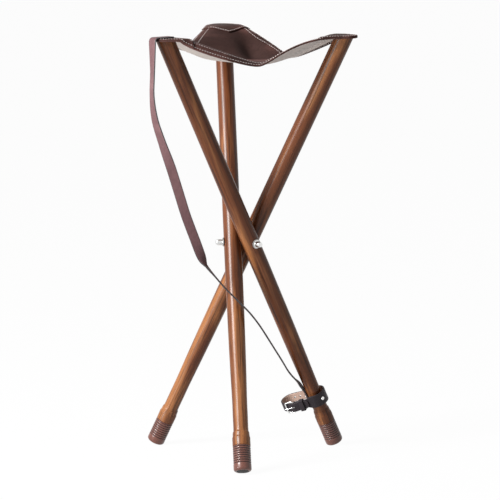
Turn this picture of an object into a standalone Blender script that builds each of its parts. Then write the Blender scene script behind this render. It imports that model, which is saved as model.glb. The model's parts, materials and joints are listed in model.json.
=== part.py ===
"""Folding tripod stool with a leather sling seat. Metres, +Z up, origin on the floor."""

import math

import bmesh
import bpy
from mathutils import Matrix, Vector

# Legs
LEG_LENGTH = 0.770
LEG_DIAMETER = 0.029
LEG_SPLAY_DEG = 26.3
ANKLE_DIAMETER = 0.0244
PIVOT_FROM_FOOT = 0.3904
PIVOT_OFFSET = 0.0191

# Feet
FOOT_DIAMETER = 0.0292
FERRULE_HEIGHT = 0.042
SPIGOT_DIAMETER = 0.020
PAD_DIAMETER = 0.019
PAD_THICKNESS = 0.0036

# Bolt
BOLT_DIAMETER = 0.006
WASHER_DIAMETER = 0.0150
WASHER_THICKNESS = 0.0012
NUT_LENGTH = 0.0122
NUT_DIAMETER = 0.0104

# Seat
SEAT_CORNER_RADIUS = 0.023
SEAT_THICKNESS = 0.0028
SEAT_SAG = 0.044
SEAT_EDGE_SAG = {"back_left": 0.027, "front": 0.043, "back_right": 0.043}
SEAT_EDGE_DROP = {"back_left": 0.9, "front": 0.72, "back_right": 0.9}
SEAT_EDGE_CLIMB = {"back_left": 1.3, "front": 2.3, "back_right": 1.3}
SEAT_FALL = {"left": 0.130, "back": 0.105, "right": 0.100}
SEAT_FOLD_DEPTH = 0.017
SEAT_FOLD_WIDTH = 0.020
SEAT_FOLD_ASIDE = 0.031
PATCH_THICKNESS = 0.0013
PATCH_REACH = 0.046
PATCH_SIZE = 0.075

# Straps
CARRY_WIDTH = 0.016
CARRY_THICKNESS = 0.0022
CLOSURE_WIDTH = 0.016
COLLAR_WIDTH = 0.022
CLOSURE_THICKNESS = 0.0022
CLOSURE_HEIGHT = 0.090
CLOSURE_REACH = 0.0605
COLLAR_SLACK = 0.0023
STUD_DIAMETER = 0.0050
FACING_ASIDE_DEG = 5.6
FACING_DOWN_DEG = 7.9

GAP = 0.0003
ARMS = {"left": -60.0, "back": 180.0, "right": 60.0}
SPLAY = math.radians(LEG_SPLAY_DEG)
ABOVE = LEG_LENGTH - PIVOT_FROM_FOOT
PIVOT_Z = PIVOT_FROM_FOOT * math.cos(SPLAY)
TOP_Z = PIVOT_Z + ABOVE * math.cos(SPLAY)
UP_IN_LEG = Vector((0.0, math.sin(SPLAY), math.cos(SPLAY)))

for old in list(bpy.data.objects):
    bpy.data.objects.remove(old, do_unlink=True)

scene = bpy.context.scene
parts = bpy.data.collections.new("tripod_stool")
cutters = bpy.data.collections.new("cutters")
for group in (parts, cutters):
    scene.collection.children.link(group)


def material(name, colour, roughness, metallic=0.0):
    m = bpy.data.materials.new(name)
    m.use_nodes = True
    m.diffuse_color = (*colour, 1.0)
    b = m.node_tree.nodes["Principled BSDF"]
    b.inputs["Base Color"].default_value = (*colour, 1.0)
    b.inputs["Roughness"].default_value = roughness
    b.inputs["Metallic"].default_value = metallic
    return m


WOOD = material("wood", (0.17, 0.06, 0.025), 0.3)
RUBBER = material("rubber_brown", (0.18, 0.07, 0.05), 0.55)
PAD = material("rubber_black", (0.012, 0.012, 0.012), 0.7)
LEATHER = material("leather_dark", (0.07, 0.035, 0.03), 0.5)
STRAP = material("leather_strap", (0.15, 0.08, 0.08), 0.5)
CHROME = material("chrome", (0.8, 0.8, 0.8), 0.12, 1.0)
STEEL = material("steel", (0.55, 0.55, 0.55), 0.3, 1.0)


def empty(name, parent=None, matrix=None):
    e = bpy.data.objects.new(name, None)
    e.empty_display_size = 0.02
    parts.objects.link(e)
    e.parent = parent
    if matrix is not None:
        e.matrix_local = matrix
    return e


def link(name, data, mat, parent, collection=None):
    o = bpy.data.objects.new(name, data)
    (collection or parts).objects.link(o)
    if mat is not None:
        data.materials.append(mat)
    o.parent = parent
    return o


def from_bmesh(name, bm, mat, parent, collection=None):
    bmesh.ops.recalc_face_normals(bm, faces=bm.faces[:])
    mesh = bpy.data.meshes.new(name)
    bm.to_mesh(mesh)
    bm.free()
    mesh.shade_smooth()
    mesh.set_sharp_from_angle(angle=math.radians(35.0))
    return link(name, mesh, mat, parent, collection)


def lathe(name, profile, steps, mat, parent, closed=False):
    """A profile of (radius, height) pairs turned about Z by a Screw modifier."""
    bm = bmesh.new()
    verts = [bm.verts.new((r, 0.0, z)) for r, z in profile]
    for a, b in zip(verts, verts[1:]):
        bm.edges.new((a, b))
    if closed:
        bm.edges.new((verts[-1], verts[0]))
    mesh = bpy.data.meshes.new(name)
    bm.to_mesh(mesh)
    bm.free()
    o = link(name, mesh, mat, parent)
    screw = o.modifiers.new("turn", "SCREW")
    screw.axis = "Z"
    screw.steps = steps
    screw.render_steps = steps
    screw.use_merge_vertices = True
    screw.merge_threshold = 1e-6
    screw.use_normal_calculate = False
    screw.use_normal_flip = True
    return o


def cylinder(bm, radius, length, matrix, segments):
    bmesh.ops.create_cone(
        bm,
        cap_ends=True,
        cap_tris=False,
        segments=segments,
        radius1=radius,
        radius2=radius,
        depth=length,
        matrix=matrix,
    )


def along(direction, centre):
    """A matrix that turns Z to a direction, at a centre."""
    q = Vector((0, 0, 1)).rotation_difference(Vector(direction))
    return Matrix.Translation(centre) @ q.to_matrix().to_4x4()


def cutter(name, bm, parent):
    o = from_bmesh(name, bm, None, parent, cutters)
    o.hide_render = True
    o.display_type = "WIRE"
    return o


def boolean(o, other, operation):
    b = o.modifiers.new(operation.lower(), "BOOLEAN")
    b.operation = operation
    b.solver = "EXACT"
    b.object = other


def drill(o, name, radius, length, direction, centre, segments=16):
    bm = bmesh.new()
    cylinder(bm, radius, length, along(direction, centre), segments)
    boolean(o, cutter(name, bm, o.parent), "DIFFERENCE")


def carve(o, name, size, matrix):
    bm = bmesh.new()
    bmesh.ops.create_cube(bm, size=1.0, matrix=matrix @ Matrix.Diagonal((*size, 1.0)))
    boolean(o, cutter(name, bm, o.parent), "DIFFERENCE")


def wire(name, points, radius, mat, parent, cyclic=False, resolution=2):
    c = bpy.data.curves.new(name, "CURVE")
    c.dimensions = "3D"
    c.bevel_depth = radius
    c.bevel_resolution = resolution
    c.use_fill_caps = not cyclic
    s = c.splines.new("POLY")
    s.points.add(len(points) - 1)
    for p, co in zip(s.points, points):
        p.co = (*co, 1.0)
    s.use_cyclic_u = cyclic
    return link(name, c, mat, parent)


def ribbon(name, rows, mat, parent):
    """A solid strip. Each row is a list of (low point, high point) across the strip."""
    nx, ny = len(rows) - 1, len(rows[0]) - 1
    bm = bmesh.new()
    bmesh.ops.create_grid(bm, x_segments=nx, y_segments=ny, size=1.0)
    made = bmesh.ops.extrude_face_region(bm, geom=bm.faces[:])
    high = {v for v in made["geom"] if isinstance(v, bmesh.types.BMVert)}
    for v in bm.verts:
        i = round((v.co.x + 1.0) / 2.0 * nx)
        j = round((v.co.y + 1.0) / 2.0 * ny)
        v.co = rows[i][j][1 if v in high else 0]
    return from_bmesh(name, bm, mat, parent)


def spline(points, per):
    """Catmull-Rom points through a list of vectors, with the parameter of each."""
    pts = [points[0] * 2 - points[1]] + list(points) + [points[-1] * 2 - points[-2]]
    out = []
    for i in range(len(points) - 1):
        a, b, c, d = pts[i : i + 4]
        for k in range(per):
            t = k / per
            p = b * 2 + (c - a) * t + (a * 2 - b * 5 + c * 4 - d) * t * t
            p = (p + (b * 3 - a - c * 3 + d) * t ** 3) * 0.5
            out.append((p, i + t))
    out.append((points[-1].copy(), float(len(points) - 1)))
    return out


def level(table, x):
    """Straight-line interpolation in a table of (x, value) pairs."""
    if x <= table[0][0]:
        return table[0][1]
    for (x0, y0), (x1, y1) in zip(table, table[1:]):
        if x <= x1:
            return y0 + (y1 - y0) * (x - x0) / (x1 - x0)
    return table[-1][1]


# Frames: the stool, one arm and one leg for each side, and the closure strap
LEG_ON_ARM = Matrix.Translation((PIVOT_OFFSET, 0, 0)) @ Matrix.Rotation(SPLAY, 4, "X")


def arm_matrix(side):
    turn = Matrix.Rotation(math.radians(ARMS[side]), 4, "Z")
    return Matrix.Translation((0, 0, PIVOT_Z)) @ turn


def leg_matrix(side):
    return arm_matrix(side) @ LEG_ON_ARM


stool = empty("stool")
arm_frame, leg_frame = {}, {}
for side in ARMS:
    arm_frame[side] = empty(f"arm_{side}", stool, arm_matrix(side))
    leg_frame[side] = empty(f"leg_{side}_pivot", arm_frame[side], LEG_ON_ARM)


LEG_TOP = {side: leg_matrix(side) @ Vector((0, 0, ABOVE)) for side in ARMS}
SEAT_RADIUS = math.hypot(LEG_TOP["back"].x, LEG_TOP["back"].y)

# Turned legs
r_leg, r_ankle, r_foot = LEG_DIAMETER / 2, ANKLE_DIAMETER / 2, FOOT_DIAMETER / 2
r_spigot = SPIGOT_DIAMETER / 2
foot = -PIVOT_FROM_FOOT
band = FERRULE_HEIGHT + GAP
swell = PIVOT_FROM_FOOT - CLOSURE_HEIGHT - 0.03
LEG_PROFILE = [
    (0.0, foot + 0.0100 + GAP),
    (r_spigot - 0.001, foot + 0.0100 + GAP),
    (r_spigot, foot + 0.0110 + GAP),
    (r_spigot, foot + band),
    (r_foot, foot + band),
    (r_foot, foot + band + 0.0135),
    (r_foot - 0.0008, foot + band + 0.0165),
    (r_ankle + 0.0012, foot + band + 0.0225),
    (r_ankle, foot + band + 0.0265),
    (r_ankle, foot + CLOSURE_HEIGHT + 0.030),
    (r_ankle + 0.45 * (r_leg - r_ankle), foot + CLOSURE_HEIGHT + 0.03 + 0.22 * swell),
    (r_ankle + 0.75 * (r_leg - r_ankle), foot + CLOSURE_HEIGHT + 0.03 + 0.45 * swell),
    (r_leg, foot + CLOSURE_HEIGHT + 0.03 + 0.85 * swell),
    (r_leg, ABOVE + 0.02),
    (0.0, ABOVE + 0.02),
]
legs = {}
for side in ARMS:
    leg = lathe(f"leg_{side}", LEG_PROFILE, 24, WOOD, leg_frame[side])
    tilt = Matrix.Rotation(-SPLAY, 4, "X")
    cut = Matrix.Translation((0, 0, ABOVE)) @ tilt @ Matrix.Translation((0, 0, 0.05))
    carve(leg, f"cut_top_{side}", (0.1, 0.1, 0.1), cut)
    drill(leg, f"cut_bolt_{side}", BOLT_DIAMETER / 2 + GAP, 0.1, (1, 0, 0), (0, 0, 0))
    start = Vector((0, 0, ABOVE)) - UP_IN_LEG * 0.012
    drill(leg, f"cut_pilot_{side}", 0.0019 + GAP, 0.040, UP_IN_LEG, start, 12)
    legs[side] = leg

# Ribbed feet, each with a flat where it meets the floor, and their pads
r_pad = PAD_DIAMETER / 2
ferrule = [
    (0.0, foot + PAD_THICKNESS),
    (r_pad + GAP, foot + PAD_THICKNESS),
    (r_pad + GAP, foot),
    (r_foot - 0.0040, foot),
    (r_foot - 0.0020, foot + 0.00054),
    (r_foot - 0.00054, foot + 0.0020),
    (r_foot, foot + 0.0040),
    (r_foot, foot + 0.0115),
]
RIBS = 8
pitch = (FERRULE_HEIGHT - 0.0115) / RIBS
for k in range(RIBS):
    z = foot + 0.0115 + k * pitch
    ferrule.append((r_foot - 0.0011, z + 0.4 * pitch))
    ferrule.append((r_foot, z + pitch))
ferrule += [
    (r_spigot + GAP, foot + FERRULE_HEIGHT),
    (r_spigot + GAP, foot + 0.010),
    (0.0, foot + 0.010),
]
edge = (r_foot - 0.004) * math.sin(SPLAY) + 0.004 * (1.0 - math.cos(SPLAY))
pad = [
    (0.0, foot - 0.0004),
    (r_pad - 0.0012, foot - 0.0002),
    (r_pad, foot + 0.0008),
    (r_pad, foot + PAD_THICKNESS - GAP),
    (0.0, foot + PAD_THICKNESS - GAP),
]
for side in ARMS:
    f = lathe(f"foot_ferrule_{side}", ferrule, 20, RUBBER, leg_frame[side])
    tilt = Matrix.Rotation(-SPLAY, 4, "X")
    below = Vector((0, 0, foot)) - UP_IN_LEG * (edge - 0.0005 + 0.02)
    carve(f, f"cut_floor_{side}", (0.06, 0.06, 0.04), Matrix.Translation(below) @ tilt)
    lathe(f"foot_pad_{side}", pad, 16, PAD, leg_frame[side])

# Three-way bolt with washers and cap nuts
arm_end = PIVOT_OFFSET + r_leg + 2 * GAP + WASHER_THICKNESS + 0.0075
bm = bmesh.new()
hub_r = min(BOLT_DIAMETER / 2 + 0.0010, PIVOT_OFFSET - r_leg - GAP)
cylinder(bm, hub_r, 0.0095, Matrix.Identity(4), 20)
bolt = from_bmesh("three_way_bolt", bm, STEEL, arm_frame["back"])
for side, degrees in ARMS.items():
    bm = bmesh.new()
    yaw = math.radians(degrees - ARMS["back"])
    d = Vector((math.cos(yaw), math.sin(yaw), 0))
    cylinder(bm, BOLT_DIAMETER / 2, arm_end, along(d, d * arm_end / 2), 16)
    boolean(bolt, cutter(f"bolt_arm_{side}", bm, bolt.parent), "UNION")

r_w, r_n, bore = WASHER_DIAMETER / 2, NUT_DIAMETER / 2, BOLT_DIAMETER / 2 + GAP
washer = [(bore, 0.0), (r_w, 0.0), (r_w, WASHER_THICKNESS), (bore, WASHER_THICKNESS)]
nut = [
    (0.0, 0.0078),
    (bore, 0.0078),
    (bore, 0.0),
    (r_n + 0.0010, 0.0),
    (r_n + 0.0010, 0.0009),
    (r_n, 0.0014),
    (r_n, 0.68 * NUT_LENGTH),
    (0.92 * r_n, 0.80 * NUT_LENGTH),
    (0.70 * r_n, 0.91 * NUT_LENGTH),
    (0.38 * r_n, 0.98 * NUT_LENGTH),
    (0.0, NUT_LENGTH),
]
for side in ARMS:
    w = lathe(f"bolt_washer_{side}", washer, 20, STEEL, arm_frame[side], closed=True)
    w.rotation_euler = (0.0, math.pi / 2, 0.0)
    w.location = (PIVOT_OFFSET + r_leg + GAP, 0.0, 0.0)
    n = lathe(f"cap_nut_{side}", nut, 20, CHROME, arm_frame[side])
    n.rotation_euler = (0.0, math.pi / 2, 0.0)
    n.location = (PIVOT_OFFSET + r_leg + 2 * GAP + WASHER_THICKNESS, 0.0, 0.0)

# Sling seat: a rounded triangle that hangs from the three leg tops
CORNER_ANGLE = {s: math.atan2(p.y, p.x) for s, p in LEG_TOP.items()}
SIXTY = math.pi / 3
HALF_SIDE = SEAT_RADIUS * math.sin(SIXTY)
EDGE_OUT = SEAT_RADIUS / 2 + SEAT_CORNER_RADIUS
LIFT = GAP
FLAT = LEG_DIAMETER / 2 / math.cos(SPLAY) + 0.0035


def off_corner(angle):
    """The angle from the nearest corner's centreline, 0 to 60 degrees."""
    a = (angle - CORNER_ANGLE["back"]) % (2 * SIXTY)
    return min(a, 2 * SIXTY - a)


def outline(angle):
    a = off_corner(angle)
    tangent = math.atan2(
        SEAT_CORNER_RADIUS * math.sin(SIXTY), SEAT_RADIUS + SEAT_CORNER_RADIUS * 0.5
    )
    if a > tangent:
        return EDGE_OUT / math.cos(SIXTY - a)
    inside = SEAT_CORNER_RADIUS ** 2 - (SEAT_RADIUS * math.sin(a)) ** 2
    return SEAT_RADIUS * math.cos(a) + math.sqrt(max(inside, 0.0))


def fall(share, power):
    """How far the leather has fallen, 0 to 1, on its way from a corner: slow, straight, then rounded."""
    left = 1.0 - min(max(share, 0.0), 1.0)
    bend = 0.12
    rest = (math.hypot(left, bend) - bend) / (math.hypot(1.0, bend) - bend)
    return max(1.0 - rest, 0.0) ** power


def rim_height(angle):
    """The edge drops quickly past a corner, counted anticlockwise, and climbs slowly to the next."""
    turn = (angle - CORNER_ANGLE["back"]) % (2 * math.pi)
    edge = list(SEAT_EDGE_SAG)[int(turn / (2 * SIXTY)) % 3]
    start, power = 0.014, SEAT_EDGE_CLIMB[edge]
    if turn % (2 * SIXTY) < SIXTY:
        start, power = 0.018, SEAT_EDGE_DROP[edge]
    run = HALF_SIDE - outline(angle) * math.sin(SIXTY - off_corner(angle))
    return -SEAT_EDGE_SAG[edge] * fall((run - start) / (HALF_SIDE - start), power)


def seat_fold(x, y):
    """How deep the soft fold is that runs beside the back corner's pull toward the middle."""
    angle, lean = CORNER_ANGLE["back"], 1.35
    along = (x * math.cos(angle) + y * math.sin(angle)) / (SEAT_RADIUS - FLAT)
    aside = y * math.cos(angle) - x * math.sin(angle) + SEAT_FOLD_ASIDE
    share = math.sin(math.pi * min(max(along, 0.0), 1.0) ** lean) ** 2
    return SEAT_FOLD_DEPTH * share * math.exp(-((aside / SEAT_FOLD_WIDTH) ** 2))


def seat_height(x, y):
    middle = -SEAT_SAG
    for side, angle in CORNER_ANGLE.items():
        inward = SEAT_RADIUS - (x * math.cos(angle) + y * math.sin(angle)) - FLAT
        middle *= fall(inward / SEAT_FALL[side], 1.3)
    r = math.hypot(x, y)
    if r < 1e-6:
        return middle
    angle = math.atan2(y, x)
    share = (r / outline(angle)) ** 6
    return (middle - seat_fold(x, y)) * (1.0 - share) + rim_height(angle) * share


def seat_normal(x, y):
    h = 0.0004
    dx = (seat_height(x + h, y) - seat_height(x - h, y)) / (2 * h)
    dy = (seat_height(x, y + h) - seat_height(x, y - h)) / (2 * h)
    return Vector((-dx, -dy, 1.0)).normalized()


OFFSETS = [0.0, 2.1, 4.2, 6.4, 10.0, 16.0, 24.0, 35.0, 47.0]
RINGS = [0.0, 0.24, 0.44, 0.58, 0.69, 0.78, 0.83, 0.88, 0.94, 1.0]
SECTOR = OFFSETS + [60.0] + [120.0 - a for a in OFFSETS[:0:-1]]
SEAT_ANGLES = [k * 120.0 + a for k in range(3) for a in SECTOR]


def seat_piece(name, low, high, mat, keep=None):
    """A piece between two heights above the sling's underside, on the same grid."""
    n, m = len(SEAT_ANGLES), len(RINGS) - 1
    bm = bmesh.new()
    bmesh.ops.create_grid(bm, x_segments=n, y_segments=m, size=1.0)
    if keep is not None:
        gone = []
        for f in bm.faces:
            c = f.calc_center_median()
            i = int((c.x + 1.0) / 2.0 * n)
            j = int((c.y + 1.0) / 2.0 * m)
            if not keep(SEAT_ANGLES[i], RINGS[j]):
                gone.append(f)
        bmesh.ops.delete(bm, geom=gone, context="FACES")
    for v in bm.verts:
        i = round((v.co.x + 1.0) / 2.0 * n) % n
        j = round((v.co.y + 1.0) / 2.0 * m)
        angle = CORNER_ANGLE["back"] + math.radians(SEAT_ANGLES[i])
        r = outline(angle) * RINGS[j]
        v.co = (r * math.cos(angle), r * math.sin(angle), 0.0)
    bmesh.ops.remove_doubles(bm, verts=bm.verts[:], dist=1e-6)
    bmesh.ops.triangulate(bm, faces=bm.faces[:], quad_method="FIXED")
    made = bmesh.ops.extrude_face_region(bm, geom=bm.faces[:])
    top = {v for v in made["geom"] if isinstance(v, bmesh.types.BMVert)}
    for v in bm.verts:
        x, y = v.co.x, v.co.y
        base = Vector((x, y, TOP_Z + LIFT + seat_height(x, y)))
        v.co = base + seat_normal(x, y) * (high if v in top else low)
    return from_bmesh(name, bm, mat, stool)


seat = seat_piece("seat_panel", 0.0, SEAT_THICKNESS, LEATHER)
PATCH_LOW = SEAT_THICKNESS + GAP
PATCH_TOP = PATCH_LOW + PATCH_THICKNESS
SHIFT = {}
for side, angle in CORNER_ANGLE.items():
    SHIFT[side] = math.degrees((angle - CORNER_ANGLE["back"]) % (2 * math.pi))


def patch_keep(side):
    """Which faces of the sling's grid lie near a corner."""

    def keep(angle, ring):
        off = (angle - SHIFT[side] + 180.0) % 360.0 - 180.0
        return ring > 0.4 and -36.0 < off < 34.0

    return keep


screw_hole = 0.0019 + GAP
HEAD_RADIUS = 0.0042
HEAD_HEIGHT = 0.0010
for side in ARMS:
    p = LEG_TOP[side]
    drill(seat, f"cut_seat_{side}", screw_hole, 0.02, (0, 0, 1), (p.x, p.y, TOP_Z), 12)
    sunk = TOP_Z + LIFT + SEAT_THICKNESS - HEAD_HEIGHT - GAP + 0.005
    drill(seat, f"cut_head_{side}", HEAD_RADIUS + GAP, 0.010, (0, 0, 1), (p.x, p.y, sunk), 16)
    patch = seat_piece(f"corner_patch_{side}", PATCH_LOW, PATCH_TOP, LEATHER, patch_keep(side))
    middle = p.xy.normalized() * (SEAT_RADIUS - PATCH_REACH + PATCH_SIZE)
    aim = Matrix.Rotation(CORNER_ANGLE[side] + math.radians(30.0), 4, "Z")
    bm = bmesh.new()
    cylinder(bm, PATCH_SIZE, 0.2, Matrix.Translation((*middle, TOP_Z)) @ aim, 6)
    boolean(patch, cutter(f"cut_shield_{side}", bm, stool), "INTERSECT")

# Screws that hold the seat to the legs, sunk in the leather under the patches
screw_profile = [
    (0.0, -0.0300),
    (0.0009, -0.0280),
    (0.0019, -0.0220),
    (0.0019, 0.0),
    (HEAD_RADIUS, 0.0),
    (HEAD_RADIUS, HEAD_HEIGHT),
    (0.0, HEAD_HEIGHT),
]
for side in ARMS:
    under_head = LIFT + SEAT_THICKNESS - HEAD_HEIGHT
    place = Matrix.Translation(Vector((0, 0, ABOVE)) + UP_IN_LEG * under_head)
    screw = lathe(f"seat_screw_{side}", screw_profile, 14, STEEL, leg_frame[side])
    screw.matrix_local = place @ Matrix.Rotation(-SPLAY, 4, "X")

# Carrying strap, in the left leg's frame: across, toward the front, share of the height
CLOSURE_Z = -PIVOT_FROM_FOOT + CLOSURE_HEIGHT
STRAP_SPAN = ABOVE - CLOSURE_Z
STRAP_ROUTE = [
    (0.0014, -0.0451, 0.9538),
    (0.0000, -0.0624, 0.9029),
    (0.0002, -0.0748, 0.8480),
    (0.0035, -0.0812, 0.7883),
    (0.0072, -0.0863, 0.7273),
    (0.0097, -0.0923, 0.6668),
    (0.0117, -0.0981, 0.6057),
    (0.0144, -0.1018, 0.5426),
    (0.0152, -0.1036, 0.4970),
    (0.0196, -0.1044, 0.4737),
    (0.0268, -0.1012, 0.4423),
    (0.0340, -0.0967, 0.4080),
    (0.0408, -0.0886, 0.3677),
    (0.0424, -0.0777, 0.3243),
    (0.0376, -0.0674, 0.2800),
    (0.0282, -0.0572, 0.2344),
    (0.0185, -0.0474, 0.1878),
    (0.0082, -0.0372, 0.1404),
    (-0.0010, -0.0285, 0.0990),
    (-0.0058, -0.0195, 0.0640),
]
# The strap's turn about its own line, in degrees from facing front, by route point
STRAP_TURN = [
    (0, -64),
    (1, -64),
    (2, -50),
    (3, -38),
    (4, -8),
    (5, 0),
    (7.3, 0),
    (8, 25),
    (9, 78),
    (10, 88),
    (19, 88),
]
# Where the strap comes in to the leg: height above the closure strap's middle, and distance off the leg
STRAP_LANDING = [
    (0.033, 0.0046),
    (0.024, 0.0027),
    (0.016, 0.0010),
    (0.010, 0.0001),
    (0.003, 0.0),
    (-0.008, 0.0),
]
to_leg = leg_matrix("left").inverted()
aside, down = math.radians(FACING_ASIDE_DEG), math.radians(FACING_DOWN_DEG)
FRONT = Vector((math.sin(aside), math.cos(aside), -math.tan(down)))
FRONT = (to_leg.to_3x3() @ FRONT).normalized()
corner = LEG_TOP["left"]
out = Vector((corner.x, corner.y, 0.0)).normalized()
strap_z = TOP_Z + LIFT + PATCH_TOP + GAP + CARRY_THICKNESS / 2
rim = SEAT_CORNER_RADIUS
head = [
    (-0.0110, 0.0),
    (0.0, 0.0),
    (0.0100, 0.0),
    (rim - 0.0030, 0.0),
    (rim + 0.0008, -0.0003),
    (rim + 0.0034, -0.0019),
    (rim + 0.0048, -0.0050),
    (rim + 0.0050, -0.0110),
]
line = []
for reach, drop in head:
    world = Vector((corner.x, corner.y, strap_z + drop)) + out * reach
    line.append(to_leg @ world)
HEAD = len(line)
line += [Vector((x, y, CLOSURE_Z + z * STRAP_SPAN)) for x, y, z in STRAP_ROUTE]
END_ANGLE = math.radians(231.0)
r_end = r_ankle + 0.0004 + CARRY_THICKNESS / 2
foot_dir = Vector((math.cos(END_ANGLE), math.sin(END_ANGLE), 0.0))
for z, clear in STRAP_LANDING:
    line.append(foot_dir * (r_end + clear) + Vector((0, 0, CLOSURE_Z + z)))
side_top = to_leg.to_3x3() @ Vector((-out.y, out.x, 0.0))
samples = spline(line, 2)
rows = []
for k, (p, t) in enumerate(samples):
    a = samples[max(k - 1, 0)][0]
    b = samples[min(k + 1, len(samples) - 1)][0]
    tangent = (b - a).normalized()
    across = tangent.cross(FRONT).normalized()
    away = (FRONT - tangent * FRONT.dot(tangent)).normalized()
    turn = math.radians(level(STRAP_TURN, t - HEAD))
    turned = across * math.cos(turn) + away * math.sin(turn)
    mix = min(max((t - (HEAD - 1.0)) / 1.0, 0.0), 1.0)
    side_dir = (side_top * (1.0 - mix) + turned * mix)
    side_dir = (side_dir - tangent * side_dir.dot(tangent)).normalized()
    normal = side_dir.cross(tangent).normalized()
    cup_share = min(max((CLOSURE_Z + 0.046 - p.z) / 0.020, 0.0), 1.0)
    row = []
    for j in range(5):
        w = (j / 4.0 - 0.5) * CARRY_WIDTH
        flat = p + side_dir * w
        direction = normal
        if cup_share > 0.0:
            axis = Vector((0.0, 0.0, p.z))
            radial = p - axis
            sign = 1.0 if side_dir.dot(Vector((0, 0, 1)).cross(radial)) > 0 else -1.0
            around = Matrix.Rotation(sign * w / radial.length, 3, "Z")
            bent = axis + around @ radial
            flat = flat.lerp(bent, cup_share)
            facing = (around @ radial).normalized()
            facing = facing if facing.dot(normal) > 0 else -facing
            direction = normal.lerp(facing, cup_share).normalized()
        half = direction * (CARRY_THICKNESS / 2)
        row.append((flat - half, flat + half))
    rows.append(row)
strap = ribbon("carry_strap", rows, STRAP, leg_frame["left"])

# The stud that holds the strap's lower end to the leg
STUD_Z = CLOSURE_Z + 0.0060
stud_seat = foot_dir * (r_end + CARRY_THICKNESS / 2 + 0.0001) + Vector((0, 0, STUD_Z))
stud_place = along(foot_dir, stud_seat)
r_stud = STUD_DIAMETER / 2
stud_profile = [
    (0.0, -0.0100),
    (0.0006, -0.0090),
    (0.0011, -0.0070),
    (0.0011, 0.0),
    (r_stud, 0.0),
    (0.90 * r_stud, 0.0007),
    (0.55 * r_stud, 0.0012),
    (0.0, 0.0014),
]
stud = lathe("strap_stud", stud_profile, 16, CHROME, leg_frame["left"])
stud.matrix_local = stud_place
stud_hole = foot_dir * r_end + Vector((0, 0, STUD_Z))
drill(strap, "cut_strap", 0.0011 + GAP, 0.010, foot_dir, stud_hole, 12)
drill(legs["left"], "cut_stud", 0.0011 + GAP, 0.024, foot_dir, stud_hole, 12)

# Closure strap: X runs from the leg toward the loop's tip, Z up the leg
closure = empty(
    "closure_pivot",
    leg_frame["left"],
    Matrix.Translation((0, 0, CLOSURE_Z)) @ Matrix.Rotation(math.radians(218.0), 4, "Z"),
)
half_t = CLOSURE_THICKNESS / 2
r_collar = r_ankle + CARRY_THICKNESS + COLLAR_SLACK + half_t
r_tip = 0.92 * r_collar
c_tip = CLOSURE_REACH - half_t - r_tip
lean = math.asin((r_tip - r_collar) / c_tip)
run_dir = Vector((math.cos(lean), math.sin(lean), 0.0))
run_out = Vector((-math.sin(lean), math.cos(lean), 0.0))
HEEL = c_tip - 0.0085
TOE = HEEL + 0.0135
BAR = 0.0012
BAR_OFF = half_t + GAP + BAR
TAIL_OFF = BAR_OFF + BAR + 0.0004 + half_t


def run(p, off, z=0.0):
    """A point of the front run, by its distance along it and its height off it."""
    return run_out * (r_collar + off) + run_dir * p + Vector((0, 0, z))


def arc(centre, radius, start, end, steps):
    return [
        Vector((
            centre + radius * math.cos(start + (end - start) * k / steps),
            radius * math.sin(start + (end - start) * k / steps),
            0.0,
        ))
        for k in range(steps + 1)
    ]


a90 = math.pi / 2 + lean
path = [run(HEEL + 0.0045 - k * (HEEL + 0.0045) / 8, 0.0) for k in range(8)]
path += arc(0.0, r_collar, a90, 2 * math.pi - a90, 20)
back = [Vector((v.x, -v.y, 0.0)) for v in (run(c_tip * k / 6, 0.0) for k in range(1, 6))]
path += back
path += arc(c_tip, r_tip, -a90, math.radians(64.0), 13)
path.append(run(HEEL + 0.0095, 0.0010))
path.append(run(HEEL + 0.0072, 0.0024))
path.append(run(HEEL + 0.0048, 0.36 * BAR + 0.0033))
path.append(run(HEEL + 0.0024, TAIL_OFF - 0.0004))
path.append(run(HEEL, TAIL_OFF))
path.append(run(HEEL - 0.0030, TAIL_OFF - 0.0002))
path.append(run(HEEL - 0.0065, TAIL_OFF - 0.0010))
path.append(run(HEEL - 0.0100, 2 * half_t + 0.0013))
path.append(run(HEEL - 0.0140, 2 * half_t + 0.0006))
path.append(run(0.0140, 2 * half_t + 0.0005))
path.append(run(0.0080, 2 * half_t + 0.0005))
rows = []
last = len(path) - 1
for k, p in enumerate(path):
    tangent = (path[min(k + 1, last)] - path[max(k - 1, 0)]).normalized()
    normal = tangent.cross(Vector((0, 0, 1)))
    share = min(max((p.x - 0.003) / 0.009, 0.0), 1.0)
    share = share * share * (3 - 2 * share)
    width = COLLAR_WIDTH + (CLOSURE_WIDTH - COLLAR_WIDTH) * share
    if k > last - 4:
        width = CLOSURE_WIDTH * (0.6 if k == last else 1.0)
    low, high = p - normal * half_t, p + normal * half_t
    row = []
    for j in range(3):
        z = Vector((0, 0, (j / 2.0 - 0.5) * width))
        row.append((low + z, high + z))
    rows.append(row)
belt = ribbon("closure_strap", rows, STRAP, closure)
PRONG = 0.0008
slot_mid = run(HEEL + 0.0020, 0.0030)
slot = Matrix.Translation(slot_mid) @ Matrix.Rotation(lean, 4, "Z")
carve(belt, "cut_slot", (0.0110, 0.0096, 2 * PRONG + 0.0009), slot)
bm = bmesh.new()
for k in range(4):
    p = 0.012 + k * (c_tip - 0.014) / 3
    spot = run(p, 0.0)
    cylinder(bm, 0.0016, 0.008, along((0, 1, 0), (spot.x, -spot.y, 0)), 10)
boolean(belt, cutter("cut_punched_holes", bm, closure), "DIFFERENCE")
RIVET = math.radians(142.0)
rivet_dir = Vector((math.cos(RIVET), math.sin(RIVET), 0.0))
drill(belt, "cut_rivet", 0.0015 + GAP, 0.010, rivet_dir, rivet_dir * r_collar, 12)
t0, t1 = -half_t - GAP, half_t + GAP
burr = r_ankle + GAP - r_collar
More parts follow.
